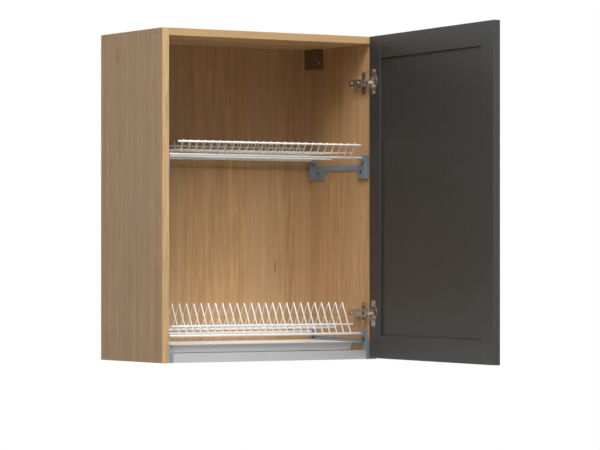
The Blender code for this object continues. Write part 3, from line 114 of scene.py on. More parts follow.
class Value:
    """A number that runs through a material's nodes, and that Python's operators work on."""

    def __init__(self, shader: "Shader", socket: Socket) -> None:
        """Wrap a socket.

        Args:
            shader: The material that the socket is in.
            socket: The output that gives the number.
        """
        self.shader = shader
        self.socket = socket

    def maths(self, operation: str, *values: "Value | float") -> "Value":
        """Add one Math node.

        Args:
            operation: The node's operation.
            values: What the node takes, in order.

        Returns:
            The node's result.
        """
        inputs = dict(enumerate(values))
        node = self.shader.node("ShaderNodeMath", {"operation": operation}, inputs)
        return Value(self.shader, node.outputs[0])

    def __add__(self, other: "Value | float") -> "Value":
        """Sum."""
        return self.maths("ADD", self, other)

    def __radd__(self, other: float) -> "Value":
        """Sum, turned round."""
        return self.maths("ADD", other, self)

    def __sub__(self, other: "Value | float") -> "Value":
        """Difference."""
        return self.maths("SUBTRACT", self, other)

    def __rsub__(self, other: float) -> "Value":
        """Difference, turned round."""
        return self.maths("SUBTRACT", other, self)

    def __mul__(self, other: "Value | float") -> "Value":
        """Product."""
        return self.maths("MULTIPLY", self, other)

    def __rmul__(self, other: float) -> "Value":
        """Product, turned round."""
        return self.maths("MULTIPLY", other, self)

    def __abs__(self) -> "Value":
        """Size without sign."""
        return self.maths("ABSOLUTE", self)

    def sine(self) -> "Value":
        """Sine of the value in radians."""
        return self.maths("SINE", self)

    def root(self) -> "Value":
        """Square root."""
        return self.maths("SQRT", self)

    def smooth(self, low: float, high: float) -> "Value":
        """A soft step: 0 at low, 1 at high.

        Args:
            low: Where the step starts.
            high: Where it ends; it may lie below low.

        Returns:
            The step's value, from 0 to 1.
        """
        settings = {"interpolation_type": "SMOOTHSTEP"}
        inputs = {"Value": self, "From Min": low, "From Max": high}
        node = self.shader.node("ShaderNodeMapRange", settings, inputs)
        return Value(self.shader, node.outputs["Result"])


class Shader:
    """A Principled material that is made node by node."""

    def __init__(self, name: str) -> None:
        """Start an empty material.

        Args:
            name: The material's name.
        """
        self.material = bpy.data.materials.new(name)
        self.material.use_nodes = True
        self.tree = self.material.node_tree
        self.tree.nodes.clear()
        output = self.node("ShaderNodeOutputMaterial")
        self.surface = self.node("ShaderNodeBsdfPrincipled")
        self.tree.links.new(self.surface.outputs[0], output.inputs[0])
        self.object_space = self.node("ShaderNodeTexCoord").outputs["Object"]

    def node(self, kind: str, settings: Inputs | None = None, inputs: Inputs | None = None) -> bpy.types.Node:
        """Make one node.

        Args:
            kind: The node's type.
            settings: Its settings, set first.
            inputs: Numbers, colours, values or sockets for its inputs.

        Returns:
            The new node.
        """
        made = self.tree.nodes.new(kind)
        for key, setting in (settings or {}).items():
            setattr(made, key, setting)
        self.connect(made, inputs or {})
        return made

    def connect(self, node: bpy.types.Node, inputs: Inputs) -> None:
        """Give a node what its inputs take.

        Args:
            node: The node.
            inputs: Numbers, colours, values or sockets, by the input's name or number.
        """
        for key, given in inputs.items():
            if isinstance(given, Value):
                given = given.socket
            if isinstance(given, Socket):
                self.tree.links.new(given, node.inputs[key])
            else:
                node.inputs[key].default_value = given

    def place(self, shift: Point = (0.0, 0.0, 0.0), stretch: Point = (1.0, 1.0, 1.0)) -> Socket:
        """The place on the piece, moved and stretched, for a pattern.

        Args:
            shift: What is added to the place.
            stretch: What each of the shifted coordinates is multiplied by.

        Returns:
            The vector's socket.
        """
        place = self.object_space
        for operation, by in (("ADD", shift), ("MULTIPLY", stretch)):
            place = self.node("ShaderNodeVectorMath", {"operation": operation}, {0: place, 1: by}).outputs[0]
        return place

    def axes(self) -> tuple[Value, Value, Value]:
        """The three coordinates of the place on the piece."""
        parts = self.node("ShaderNodeSeparateXYZ", inputs={0: self.object_space})
        return Value(self, parts.outputs[0]), Value(self, parts.outputs[1]), Value(self, parts.outputs[2])

    def noise(self, vector: Socket, scale: float, detail: float = 2.0, rough: float = 0.5) -> Value:
        """A smooth random pattern.

        Args:
            vector: Where it is read.
            scale: Patches for each metre.
            detail: Finer layers on top of the first.
            rough: How strong these layers are.

        Returns:
            The pattern's value, from 0 to 1 round 0.5.
        """
        inputs = {"Vector": vector, "Scale": scale, "Detail": detail, "Roughness": rough}
        return Value(self, self.node("ShaderNodeTexNoise", inputs=inputs).outputs[0])

    def blend(self, share: Value | float, one: object, two: object) -> Socket:
        """Mix two colours.

        Args:
            share: How much of the second.
            one: The first colour, or its socket.
            two: The second colour, or its socket.

        Returns:
            The mixed colour's socket.
        """
        inputs: Inputs = {0: share}
        for key, colour in ((6, one), (7, two)):
            inputs[key] = colour if isinstance(colour, Socket) else (*colour, 1)
        return self.node("ShaderNodeMix", {"data_type": "RGBA"}, inputs).outputs[2]

    def finish(
        self,
        colour: object,
        roughness: Value | float,
        metallic: float = 0.0,
        height: Value | None = None,
        depth: float = 0.0001,
        extras: Inputs | None = None,
    ) -> Material:
        """Set the surface's sockets.

        Args:
            colour: The base colour, or its socket.
            roughness: How matt the surface is.
            metallic: 1 for bare metal.
            height: Relief from 0 to 1 for a Bump node.
            depth: How deep that relief is.
            extras: Other numbers on the surface's own sockets.

        Returns:
            The finished material.
        """
        inputs: Inputs = {"Roughness": roughness, "Metallic": metallic}
        inputs["Base Color"] = colour if isinstance(colour, Socket) else (*colour, 1)
        if height is not None:
            bump = {"Height": height, "Distance": depth, "Strength": 1.0}
            inputs["Normal"] = self.node("ShaderNodeBump", inputs=bump).outputs[0]
        self.connect(self.surface, inputs | (extras or {}))
        return self.material


# Finishes

# The left board's oak is darker and a little greyer than the same decor on the other boards: painted shade.
OAK_LEFT_PAINTED_SHADE = {"light": (0.520, 0.330, 0.172), "dark": (0.315, 0.194, 0.097), "grey": (0.394, 0.264, 0.163)}


@dataclass(frozen=True)
class OakDecor:
    """Printed oak on chipboard: broad tones, long streaks, faint arches and short dark pores."""

    name: str
    grain: Grain = Grain.UPRIGHT
    shift: Point = (0.0, 0.0, 0.0)
    heart: float = 0.0
    light: Colour = (0.625, 0.380, 0.172)
    dark: Colour = (0.385, 0.228, 0.102)
    grey: Colour = (0.480, 0.315, 0.170)
    band: Colour = (0.640, 0.420, 0.202)
    knot: Colour = (0.13, 0.075, 0.036)
    edge_front: float = 1.0
    band_thickness: float = 0.0009
    band_blur: float = 0.0001
    seam_half: float = 0.0003
    along_share: float = 0.035
    arch_share: float = 0.055
    arch_pitch: float = 0.010
    arch_reach: float = 0.085
    arch_strength: float = 0.16
    wander_reach: float = 0.05
    ring_wobble: float = 0.006
    ring_core: float = 0.01
    grey_share: float = 0.55
    pore_share: float = 0.62
    knot_share: float = 0.55
    band_share: float = 0.85
    seam_share: float = 0.5
    roughness: float = 0.50
    relief: float = 0.00010

    def material(self) -> Material:
        """Make the material.

        Returns:
            Oak with its grain along the board, and its edge band on the front edge.
        """
        shader = Shader(self.name)
        x, y, z = shader.axes()
        stretch = self.grain.stretch(self.along_share)
        along, across = (z, x + y) if self.grain is Grain.UPRIGHT else (x, y)
        vector = shader.place(self.shift, stretch)
        broad = shader.noise(vector, 16.0, 1.0)
        bands = shader.noise(vector, 75.0, 2.0, 0.55)
        streaks = shader.noise(vector, 330.0, 3.0, 0.6)
        pores = shader.noise(vector, 900.0, 2.0, 0.6)
        wander = shader.noise(vector, 9.0, 2.0, 0.5)
        off = across - self.heart + (wander - 0.5) * self.wander_reach
        rings = (off * off + along * along * self.arch_share ** 2 + self.ring_core ** 2).root()
        rings = (rings + (bands - 0.5) * self.ring_wobble) * (math.tau / self.arch_pitch)
        arches = rings.sine() * 0.5 + 0.5
        near = abs(off).smooth(self.arch_reach, 0.0)
        tone = bands * 0.55 + streaks * 0.75 - 0.15 - arches * near * self.arch_strength
        pore = pores.smooth(0.60, 0.72) * streaks.smooth(0.62, 0.42)
        colour = shader.blend(tone.smooth(0.20, 0.80), self.dark, self.light)
        colour = shader.blend(broad.smooth(0.38, 0.68) * self.grey_share, colour, self.grey)
        colour = shader.blend(pore * self.pore_share, colour, self.dark)
        fleck = shader.noise(shader.place(self.shift, tuple(share ** 0.55 for share in stretch)), 62.0, 1.0)
        colour = shader.blend(fleck.smooth(0.715, 0.78) * self.knot_share, colour, self.knot)
        band_tone = shader.blend(streaks.smooth(0.3, 0.75) * 0.8, self.band, self.dark)
        line = CARCASS_FRONT + self.band_thickness
        face = y.smooth(line + self.band_blur, line - self.band_blur) * self.edge_front
        seam = y.smooth(line + self.seam_half, line) * (1 - y.smooth(line, line - self.seam_half))
        seam = seam * self.edge_front
        colour = shader.blend(face * self.band_share, colour, band_tone)
        colour = shader.blend(seam * self.seam_share, colour, self.dark)
        roughness = self.roughness + (streaks - 0.5) * 0.16 + pore * 0.15
        height = streaks * 0.6 - pore * 0.6
        return shader.finish(colour, roughness, 0.0, height, self.relief, {"Specular IOR Level": 0.42})


@dataclass(frozen=True)
class GraphiteFoil:
    """Dark foil with a pressed wood grain."""

    name: str
    grain: Grain = Grain.UPRIGHT
    tone: Colour = (0.0310, 0.0325, 0.0315)
    pale: Colour = (0.0460, 0.0480, 0.0465)
    pore: Colour = (0.020, 0.020, 0.019)
    shift: Point = (0.0, 0.0, 0.0)
    along_share: float = 0.03
    pore_share: float = 0.35
    roughness: float = 0.46
    relief: float = 0.00014

    def material(self) -> Material:
        """Make the material.

        Returns:
            Graphite foil whose relief runs along the piece.
        """
        shader = Shader(self.name)
        vector = shader.place(self.shift, self.grain.stretch(self.along_share))
        bands = shader.noise(vector, 60.0, 2.0, 0.5)
        streaks = shader.noise(vector, 500.0, 3.0, 0.65)
        cloud = shader.noise(shader.place(self.shift), 7.0, 2.0, 0.5)
        pore = streaks.smooth(0.56, 0.70)
        share = (bands - 0.5) * 0.5 + (streaks - 0.5) * 0.7 + (cloud - 0.5) * 0.3 + 0.30
        colour = shader.blend(share.smooth(0.0, 1.0), self.tone, self.pale)
        colour = shader.blend(pore * self.pore_share, colour, self.pore)
        roughness = self.roughness + (streaks - 0.5) * 0.22 + (cloud - 0.5) * 0.08
        height = streaks * 0.5 - pore * 0.5
        return shader.finish(colour, roughness, 0.0, height, self.relief, {"Specular IOR Level": 0.45})


@dataclass(frozen=True)
class DrawnAluminium:
    """Anodised aluminium with fine lines along the profile."""

    name: str
    tone: Colour = (0.49, 0.49, 0.49)
    pale: Colour = (0.555, 0.555, 0.555)
    along_share: float = 0.012
    roughness: float = 0.50
    metallic: float = 0.45
    relief: float = 0.00002

    def material(self) -> Material:
        """Make the material.

        Returns:
            Aluminium whose lines run across the cabinet.
        """
        shader = Shader(self.name)
        vector = shader.place(stretch=Grain.ACROSS.stretch(self.along_share))
        lines = shader.noise(vector, 1500.0, 3.0, 0.6)
        cloud = shader.noise(shader.place(), 11.0)
        colour = shader.blend((lines * 0.7 + cloud * 0.3).smooth(0.2, 0.8), self.tone, self.pale)
        roughness = self.roughness + (lines - 0.5) * 0.12 + (cloud - 0.5) * 0.06
        return shader.finish(colour, roughness, self.metallic, lines, self.relief)


@dataclass(frozen=True)
class PressedSheet:
    """Satin sheet metal of the drip tray with faint rub marks and dried drops, painted lighter and bluer
    inside (painted sheen) than on its front wall and rim (painted shade).
    """

    name: str
    # Painted sheen: the inside is lighter and bluer than the front wall and rim of the same sheet.
    tone: Colour = (0.78, 0.80, 0.86)
    pale: Colour = (0.86, 0.88, 0.93)
    # Painted shade: the darker grey of the front wall and rim.
    front: Colour = (0.555, 0.552, 0.54)
    drop: Colour = (0.78, 0.78, 0.76)
    front_wall: float = -0.2805
    wall_blur: float = 0.001
    spot_share: float = 0.25
    along_share: float = 0.03
    roughness: float = 0.42
    metallic: float = 0.25
    relief: float = 0.00004

    def material(self) -> Material:
        """Make the material.

        Returns:
            Sheet metal with a painted sheen inside and painted shade, a darker grey, on its front wall and
            rim.
        """
        shader = Shader(self.name)
        _, y, _ = shader.axes()
        vector = shader.place((0.3, 0.1, 0.0), Grain.ACROSS.stretch(self.along_share))
        lines = shader.noise(vector, 900.0, 3.0, 0.6)
        cloud = shader.noise(shader.place((0.1, 0.7, 0.0)), 14.0, 3.0, 0.55)
        spots = shader.noise(shader.place((0.9, 0.2, 0.0)), 130.0, 2.0, 0.5).smooth(0.66, 0.74)
        colour = shader.blend((lines * 0.4 + cloud * 0.6).smooth(0.2, 0.8), self.tone, self.pale)
        colour = shader.blend(spots * self.spot_share, colour, self.drop)
        # Painted shade on the front wall and rim, against the painted sheen of the lighter inside.
        front_painted_shade = y.smooth(self.front_wall + self.wall_blur, self.front_wall - self.wall_blur)
        colour = shader.blend(front_painted_shade, colour, self.front)
        roughness = self.roughness + (cloud - 0.5) * 0.2 + (lines - 0.5) * 0.1 + spots * 0.12
        return shader.finish(colour, roughness, self.metallic, lines * 0.5 + cloud * 0.5, self.relief)


@dataclass(frozen=True)
class MouldedPlastic:
    """Moulded plastic with a fine spark-eroded grain and slight scuffs."""

    name: str
    tone: Colour
    pale: Colour
    roughness: float = 0.42
    relief: float = 0.00004

    def material(self) -> Material:
        """Make the material.

        Returns:
            Plastic with pits and a cloudy tone.
        """
        shader = Shader(self.name)
        pits = shader.noise(shader.place(), 2600.0, 2.0, 0.6)
        cloud = shader.noise(shader.place((0.2, 0.5, 0.8)), 24.0, 3.0, 0.55)
        colour = shader.blend(cloud.smooth(0.3, 0.75) * 0.8 + (pits - 0.5) * 0.3, self.tone, self.pale)
        roughness = self.roughness + (cloud - 0.5) * 0.14 + (pits - 0.5) * 0.10
        return shader.finish(colour, roughness, 0.0, pits, self.relief, {"Specular IOR Level": 0.5})


@dataclass(frozen=True)
class WhiteCoating:
    """White plastic dip on steel wire: soft gloss, slightly uneven and warmer where it is thin."""

    name: str
    tone: Colour = (0.800, 0.780, 0.738)
    thin: Colour = (0.740, 0.690, 0.610)
    roughness: float = 0.32
    relief: float = 0.00010

    def material(self) -> Material:
        """Make the material.

        Returns:
            Coating with thin places.
        """
        shader = Shader(self.name)
        cloud = shader.noise(shader.place((0.4, 0.1, 0.6)), 60.0, 3.0, 0.6)
        drip = shader.noise(shader.place(), 420.0, 2.0, 0.5)
        colour = shader.blend(cloud.smooth(0.52, 0.80) * 0.6, self.tone, self.thin)
        roughness = self.roughness + (cloud - 0.5) * 0.16
        extras = {"Specular IOR Level": 0.5, "Coat Weight": 0.25, "Coat Roughness": 0.15}
        return shader.finish(colour, roughness, 0.0, drip * 0.6 + cloud * 0.4, self.relief, extras)


@dataclass(frozen=True)
class PlatedSteel:
    """Plated steel that is stamped or turned: cloudy plating, fine scratches and dull spots."""

    name: str
    tone: Colour
    stain: Colour
    roughness: float
    stain_share: float = 0.35
    scratch_share: float = 0.12
    relief: float = 0.00002

    def material(self) -> Material:
        """Make the material.

        Returns:
            Bare metal with stains and scratches.
        """
        shader = Shader(self.name)
        cloud = shader.noise(shader.place((0.7, 0.3, 0.5)), 90.0, 3.0, 0.6)
        vector = shader.place((0.1, 0.9, 0.4), (1.0, self.scratch_share, 1.0))
        marks = shader.noise(vector, 2200.0, 2.0, 0.6)
        colour = shader.blend(cloud.smooth(0.50, 0.78) * self.stain_share, self.tone, self.stain)
        roughness = self.roughness + (cloud - 0.5) * 0.18 + (marks - 0.5) * 0.10
        return shader.finish(colour, roughness, 1.0, marks * 0.5 + cloud * 0.5, self.relief)


def make_finishes() -> dict[str, Material]:
    """Make every finish of the cabinet once.

    Returns:
        The materials by their names.
    """
    finishes = (
        # The left board takes the darker oak, a painted shade.
        OakDecor("oak_left", shift=(0.0, 1.31, 0.2), heart=-0.150, **OAK_LEFT_PAINTED_SHADE),
        OakDecor("oak_right", shift=(0.0, 4.77, 0.5), heart=0.105),
        OakDecor("oak_top", Grain.ACROSS, (0.3, 2.2, 7.4), -0.12, band=(0.455, 0.296, 0.150)),
        OakDecor("oak_back", shift=(3.17, 0.0, 0.9), heart=0.175, edge_front=0.0),
        GraphiteFoil("graphite_stile", shift=(0.4, 0.2, 0.0)),
        GraphiteFoil("graphite_rail", Grain.ACROSS, shift=(0.1, 0.6, 0.3)),
        GraphiteFoil("graphite_panel", shift=(0.9, 0.5, 0.7)),
        DrawnAluminium("drawn_aluminium"),
        PressedSheet("pressed_tray"),
        MouldedPlastic("slate_plastic", (0.195, 0.238, 0.275), (0.240, 0.286, 0.325)),
        MouldedPlastic("brown_plastic", (0.140, 0.080, 0.038), (0.180, 0.106, 0.053), 0.46),
        MouldedPlastic("oak_cap_plastic", (0.36, 0.235, 0.125), (0.42, 0.285, 0.16), 0.5),
        WhiteCoating("white_coating"),
        PlatedSteel("nickel_plate", (0.46, 0.42, 0.38), (0.22, 0.175, 0.14), 0.42),
        PlatedSteel("zinc_plate", (0.55, 0.55, 0.54), (0.36, 0.35, 0.33), 0.32),
        # Near-black screw heads: painted shade of the sunk holes that the screws sit in.
        PlatedSteel("screw_painted_shade", (0.10, 0.096, 0.092), (0.055, 0.052, 0.048), 0.44),
    )
    return {finish.name: finish.material() for finish in finishes}


# Work steps with Blender's own tools, which every sub-assembly uses


def take(*objects: Piece) -> None:
    """Select these objects alone.

    Args:
        objects: The objects; the last becomes the active one.
    """
    bpy.ops.object.select_all(action="DESELECT")
    for obj in objects:
        obj.select_set(True)
    bpy.context.view_layer.objects.active = objects[-1]


def named(name: str) -> Piece:
    """Name the active object and its mesh.

    Args:
        name: The name of both.

    Returns:
        The object.
    """
    obj = bpy.context.view_layer.objects.active
    obj.name = name
    obj.data.name = name
    return obj


def begin(name: str) -> Piece:
    """Name the primitive that was just added, and settle its place in its mesh.

    Args:
        name: The piece's name.

    Returns:
        The piece.
    """
    obj = named(name)
    settle(obj)
    return obj


def settle(obj: Piece) -> None:
    """Put the object's place, turn and scale into its mesh."""
    take(obj)
    bpy.ops.object.transform_apply(location=True, rotation=True, scale=True)


def edit(obj: Piece, kind: str) -> None:
    """Open the mesh for editing, all of it selected.

    Args:
        obj: The piece.
        kind: VERT or FACE.
    """
    take(obj)
    bpy.ops.object.mode_set(mode="EDIT")
    bpy.ops.mesh.select_mode(type=kind)
    bpy.ops.mesh.select_all(action="SELECT")


def close() -> None:
    """Leave edit mode."""
    bpy.ops.object.mode_set(mode="OBJECT")


def outward(obj: Piece) -> None:
    """Merge doubles and turn every face outwards.

    Args:
        obj: The piece.
    """
    edit(obj, "VERT")
    bpy.ops.mesh.remove_doubles(threshold=MERGE_DISTANCE)
    bpy.ops.mesh.normals_make_consistent(inside=False)
    close()


def modify(obj: Piece, kind: str, **settings: object) -> None:
    """Add one modifier and apply it.

    Args:
        obj: The piece.
        kind: The modifier's type.
        settings: Its settings.
    """
    take(obj)
    modifier = obj.modifiers.new(kind.lower(), kind)
    for key, setting in settings.items():
        setattr(modifier, key, setting)
    bpy.ops.object.modifier_apply(modifier=modifier.name)


def bevel(obj: Piece, width: float, angle: float) -> None:
    """Round the edges that are sharper than the angle."""
    settings = {"segments": BEVEL_SEGMENTS, "limit_method": "ANGLE", "angle_limit": math.radians(angle)}
    modify(obj, "BEVEL", width=width, **settings)


def smooth(obj: Piece, angle: float = SMOOTH_ANGLE) -> None:
    """Shade smooth, with edges sharper than the angle left sharp."""
    take(obj)
    bpy.ops.object.shade_smooth_by_angle(angle=math.radians(angle))


def copy(obj: Piece, name: str, shift: Sequence[float]) -> Piece:
    """Copy a piece with its own mesh.

    Args:
        obj: What is copied.
        name: The copy's name.
        shift: How far it moves.

    Returns:
        The copy, with its place in its mesh.
    """
    take(obj)
    bpy.ops.object.duplicate()
    made = named(name)
    made.location = Vector(shift)
    settle(made)
    return made


def join(name: str, objects: Sequence[Piece]) -> Piece:
    """Join pieces into one.

    Args:
        name: The name of the joined piece.
        objects: What is joined.

    Returns:
        The joined piece.
    """
    take(*objects)
    bpy.ops.object.join()
    return named(name)


def merged(node: str) -> Piece:
    """A copy of a CAD node whose loose triangles are merged, without finish.

    Args:
        node: The CAD node.

    Returns:
        The copy, in the node's place.
    """
    made = bpy.data.objects.new(f"{node}_dressed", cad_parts[node].data.copy())
    made.data.name = made.name
    bpy.context.scene.collection.objects.link(made)
    made.data.materials.clear()
    edit(made, "VERT")
    bpy.ops.mesh.customdata_custom_splitnormals_clear()
    close()
    outward(made)
    return made


def strays(made: Piece, node: str, reach: float) -> bool:
    """Whether a corner of a rounded copy lies further off the CAD node's surface than it may.

    Args:
        made: The rounded copy.
        node: The CAD node.
        reach: How far a corner may lie off it.

    Returns:
        True where the rounding went wrong.
    """
    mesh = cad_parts[node].data
    surface = BVHTree.FromPolygons([v.co for v in mesh.vertices], [p.vertices[:] for p in mesh.polygons])
    return any(surface.find_nearest(vertex.co)[3] > reach for vertex in made.data.vertices)


def softened(node: str, width: float) -> Piece:
    """A copy of a CAD node with its edges rounded off, less where its walls are too thin for it.

    Args:
        node: The CAD node.
        width: How wide the rounding is.

    Returns:
        The copy, in the node's place.
    """
    for share in ROUNDING_SHARES:
        made = merged(node)
        if not share:
            break
        bevel(made, width * share, EDGE_ANGLE)
        if not strays(made, node, width * share * STRAY_SHARE):
            break
        bpy.data.objects.remove(made, do_unlink=True)
    LOG.info("%s keeps %.0f%% of its rounding", node, share * 100)
    smooth(made)
    modify(made, "WEIGHTED_NORMAL", keep_sharp=True)
    return made


@dataclass
class Fitter:
    """Hangs finished pieces on the CAD bodies and keeps the list of what was made."""

    finishes: dict[str, Material]
    fitted: list[str] = field(default_factory=list)

    def dress(self, node: str, finish: str) -> None:
        """Give a CAD node that stays its better material.

        Args:
            node: The CAD node.
            finish: The name of its finish.
        """
        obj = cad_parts[node]
        obj.data.materials.clear()
        obj.data.materials.append(self.finishes[finish])

    def fit(self, piece: Piece, body: str, finish: str, nodes: Sequence[str]) -> None:
        """Dress a new piece and hang it on its body.

        Args:
            piece: The piece, with its place in its mesh.
            body: The CAD body that carries it.
            finish: The name of its finish.
            nodes: The CAD nodes that it stands for.
        """
        piece.data.materials.clear()
        piece.data.materials.append(self.finishes[finish])
        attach(piece, body)
        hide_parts(*nodes)
        self.fitted.append(piece.name)
        LOG.info("fitted %s on %s", piece.name, body)


# Sub-assemblies


@dataclass
class Carcass:
    """The boards, the thin back, the caps over the screws and the aluminium profiles."""

    cap_rounding: float = 0.0003
    profile_rounding: float = 0.00025

    def build(self, fitter: Fitter) -> None:
        """Dress the boards and fit the caps and profiles.

        Args:
            fitter: What pieces are hung with.
        """
        fitter.dress("side_panel_left", "oak_left")
        fitter.dress("side_panel_right", "oak_right")
        fitter.dress("top_panel", "oak_top")
        fitter.dress("back_panel", "oak_back")
        for side in Side:
            for end in ("front", "rear"):
                node = f"carcass_screw_{side.value}_{end}"
                cap = softened(node, self.cap_rounding)
                fitter.fit(cap, "cabinet", "oak_cap_plastic", [node])
        for end in ("front", "rear"):
            node = f"{end}_profile"
            profile = softened(node, self.profile_rounding)
            fitter.fit(profile, "cabinet", "drawn_aluminium", [node])


@dataclass
class Door:
    """The framed door: stiles, rails and the sunk panel."""

    rounding: float = 0.0005

    def build(self, fitter: Fitter) -> None:
        """Fit the frame with rounded edges and dress the panel.

        Args:
            fitter: What pieces are hung with.
        """
        parts = {
            "door_stile_hinge": "graphite_stile",
            "door_stile_free": "graphite_stile",
            "door_rail_top": "graphite_rail",
            "door_rail_bottom": "graphite_rail",
        }
        for node, finish in parts.items():
            part = softened(node, self.rounding)
            fitter.fit(part, "door", finish, [node])
        fitter.dress("door_panel", "graphite_panel")


@dataclass
class BentRod:
    """A round rod with straight runs and rounded bends in the plane across the cabinet."""

    name: str
    radius: float
    path: Sequence[Plan]
    bend: float
    sides: int = 12
    bend_steps: int = 5
    tip: float = 0.0006

    def build(self, x: float) -> Piece:
        """Draw the rod's round outline along its path.

        Args:
            x: Where the rod stands across the cabinet.

        Returns:
            The rod, closed at both ends.
        """
        points = [Vector((0.0, *place)) for place in self.path]
        heading = (points[1] - points[0]).normalized()
        turn = math.atan2(-heading.y, heading.z)
        bpy.ops.mesh.primitive_circle_add(
            vertices=self.sides,
            radius=self.radius - self.tip,
            fill_type="NGON",
            location=(x, points[0].y, points[0].z),
            rotation=(turn, 0.0, 0.0),
        )
        rod = begin(self.name)
        edit(rod, "FACE")
        self.flare(heading, 1.0, points[0] + Vector((x, 0.0, 0.0)))
        done = self.tip
        for before, corner, after in zip(points, points[1:], points[2:]):
            done = self.run_and_bend(before, corner, after, done, x)
        last = points[-1] - points[-2]
        self.draw(last.normalized() * (last.length - done - self.tip))
        self.flare(last.normalized(), -1.0, points[-1] + Vector((x, 0.0, 0.0)))
        close()
        outward(rod)
        smooth(rod, ROD_ANGLE)
        return rod

    def flare(self, heading: Vector, way: float, place: Vector) -> None:
        """Draw the short rounded tip at an end.

        Args:
            heading: The way that the rod runs there.
            way: 1 where it widens from its tip, and -1 where it narrows to it.
            place: The middle of the selected outline, before it is drawn.
        """
        wide = self.radius / (self.radius - self.tip)
        self.draw(heading * self.tip)
        middle = place + heading * self.tip if way > 0 else place
        share = wide if way > 0 else 1 / wide
        bpy.ops.transform.resize(value=(share, share, share), center_override=middle)

    def draw(self, step: Vector) -> None:
        """Extrude the selected end by a step."""
        bpy.ops.mesh.extrude_region_move(TRANSFORM_OT_translate={"value": step})

    def run_and_bend(self, before: Vector, corner: Vector, after: Vector, done: float, x: float) -> float:
        """Draw one straight run and the bend at its end.

        Args:
            before: Where the run starts.
            corner: Where its line meets the next run's.
            after: Where the next run ends.
            done: How much of the run's start is drawn already.
            x: Where the rod stands.

        Returns:
            How much of the next run the bend has drawn.
        """
        back, ahead = (before - corner).normalized(), (after - corner).normalized()
        half = back.angle(ahead) / 2
        reach = self.bend / math.tan(half)
        self.draw(-back * ((corner - before).length - done - reach))
        middle = corner + (back + ahead).normalized() * (self.bend / math.sin(half))
        axis = (-back).cross(ahead).normalized()
        angle = math.pi - 2 * half
        middle.x = x
        bpy.ops.mesh.spin(steps=self.bend_steps, angle=angle, center=middle, axis=axis)
        return reach


def rail(name: str, radius: float, half: float, y: float, z: float) -> Piece:
    """A straight rail across the cabinet, with rounded ends.

    Args:
        name: The rail's name.
        radius: Its radius.
        half: Half its length.
        y: Its place from the wall plane.
        z: Its height.

    Returns:
        The rail.
    """
    bpy.ops.mesh.primitive_cylinder_add(
        vertices=RAIL_SIDES,
        radius=radius,
        depth=half * 2,
        location=(0.0, y, z),
        rotation=(0.0, math.pi / 2, 0.0),
    )
    made = begin(name)
    bevel(made, radius * RAIL_TIP_SHARE, RAIL_TIP_ANGLE)
    smooth(made, ROD_ANGLE)
    return made


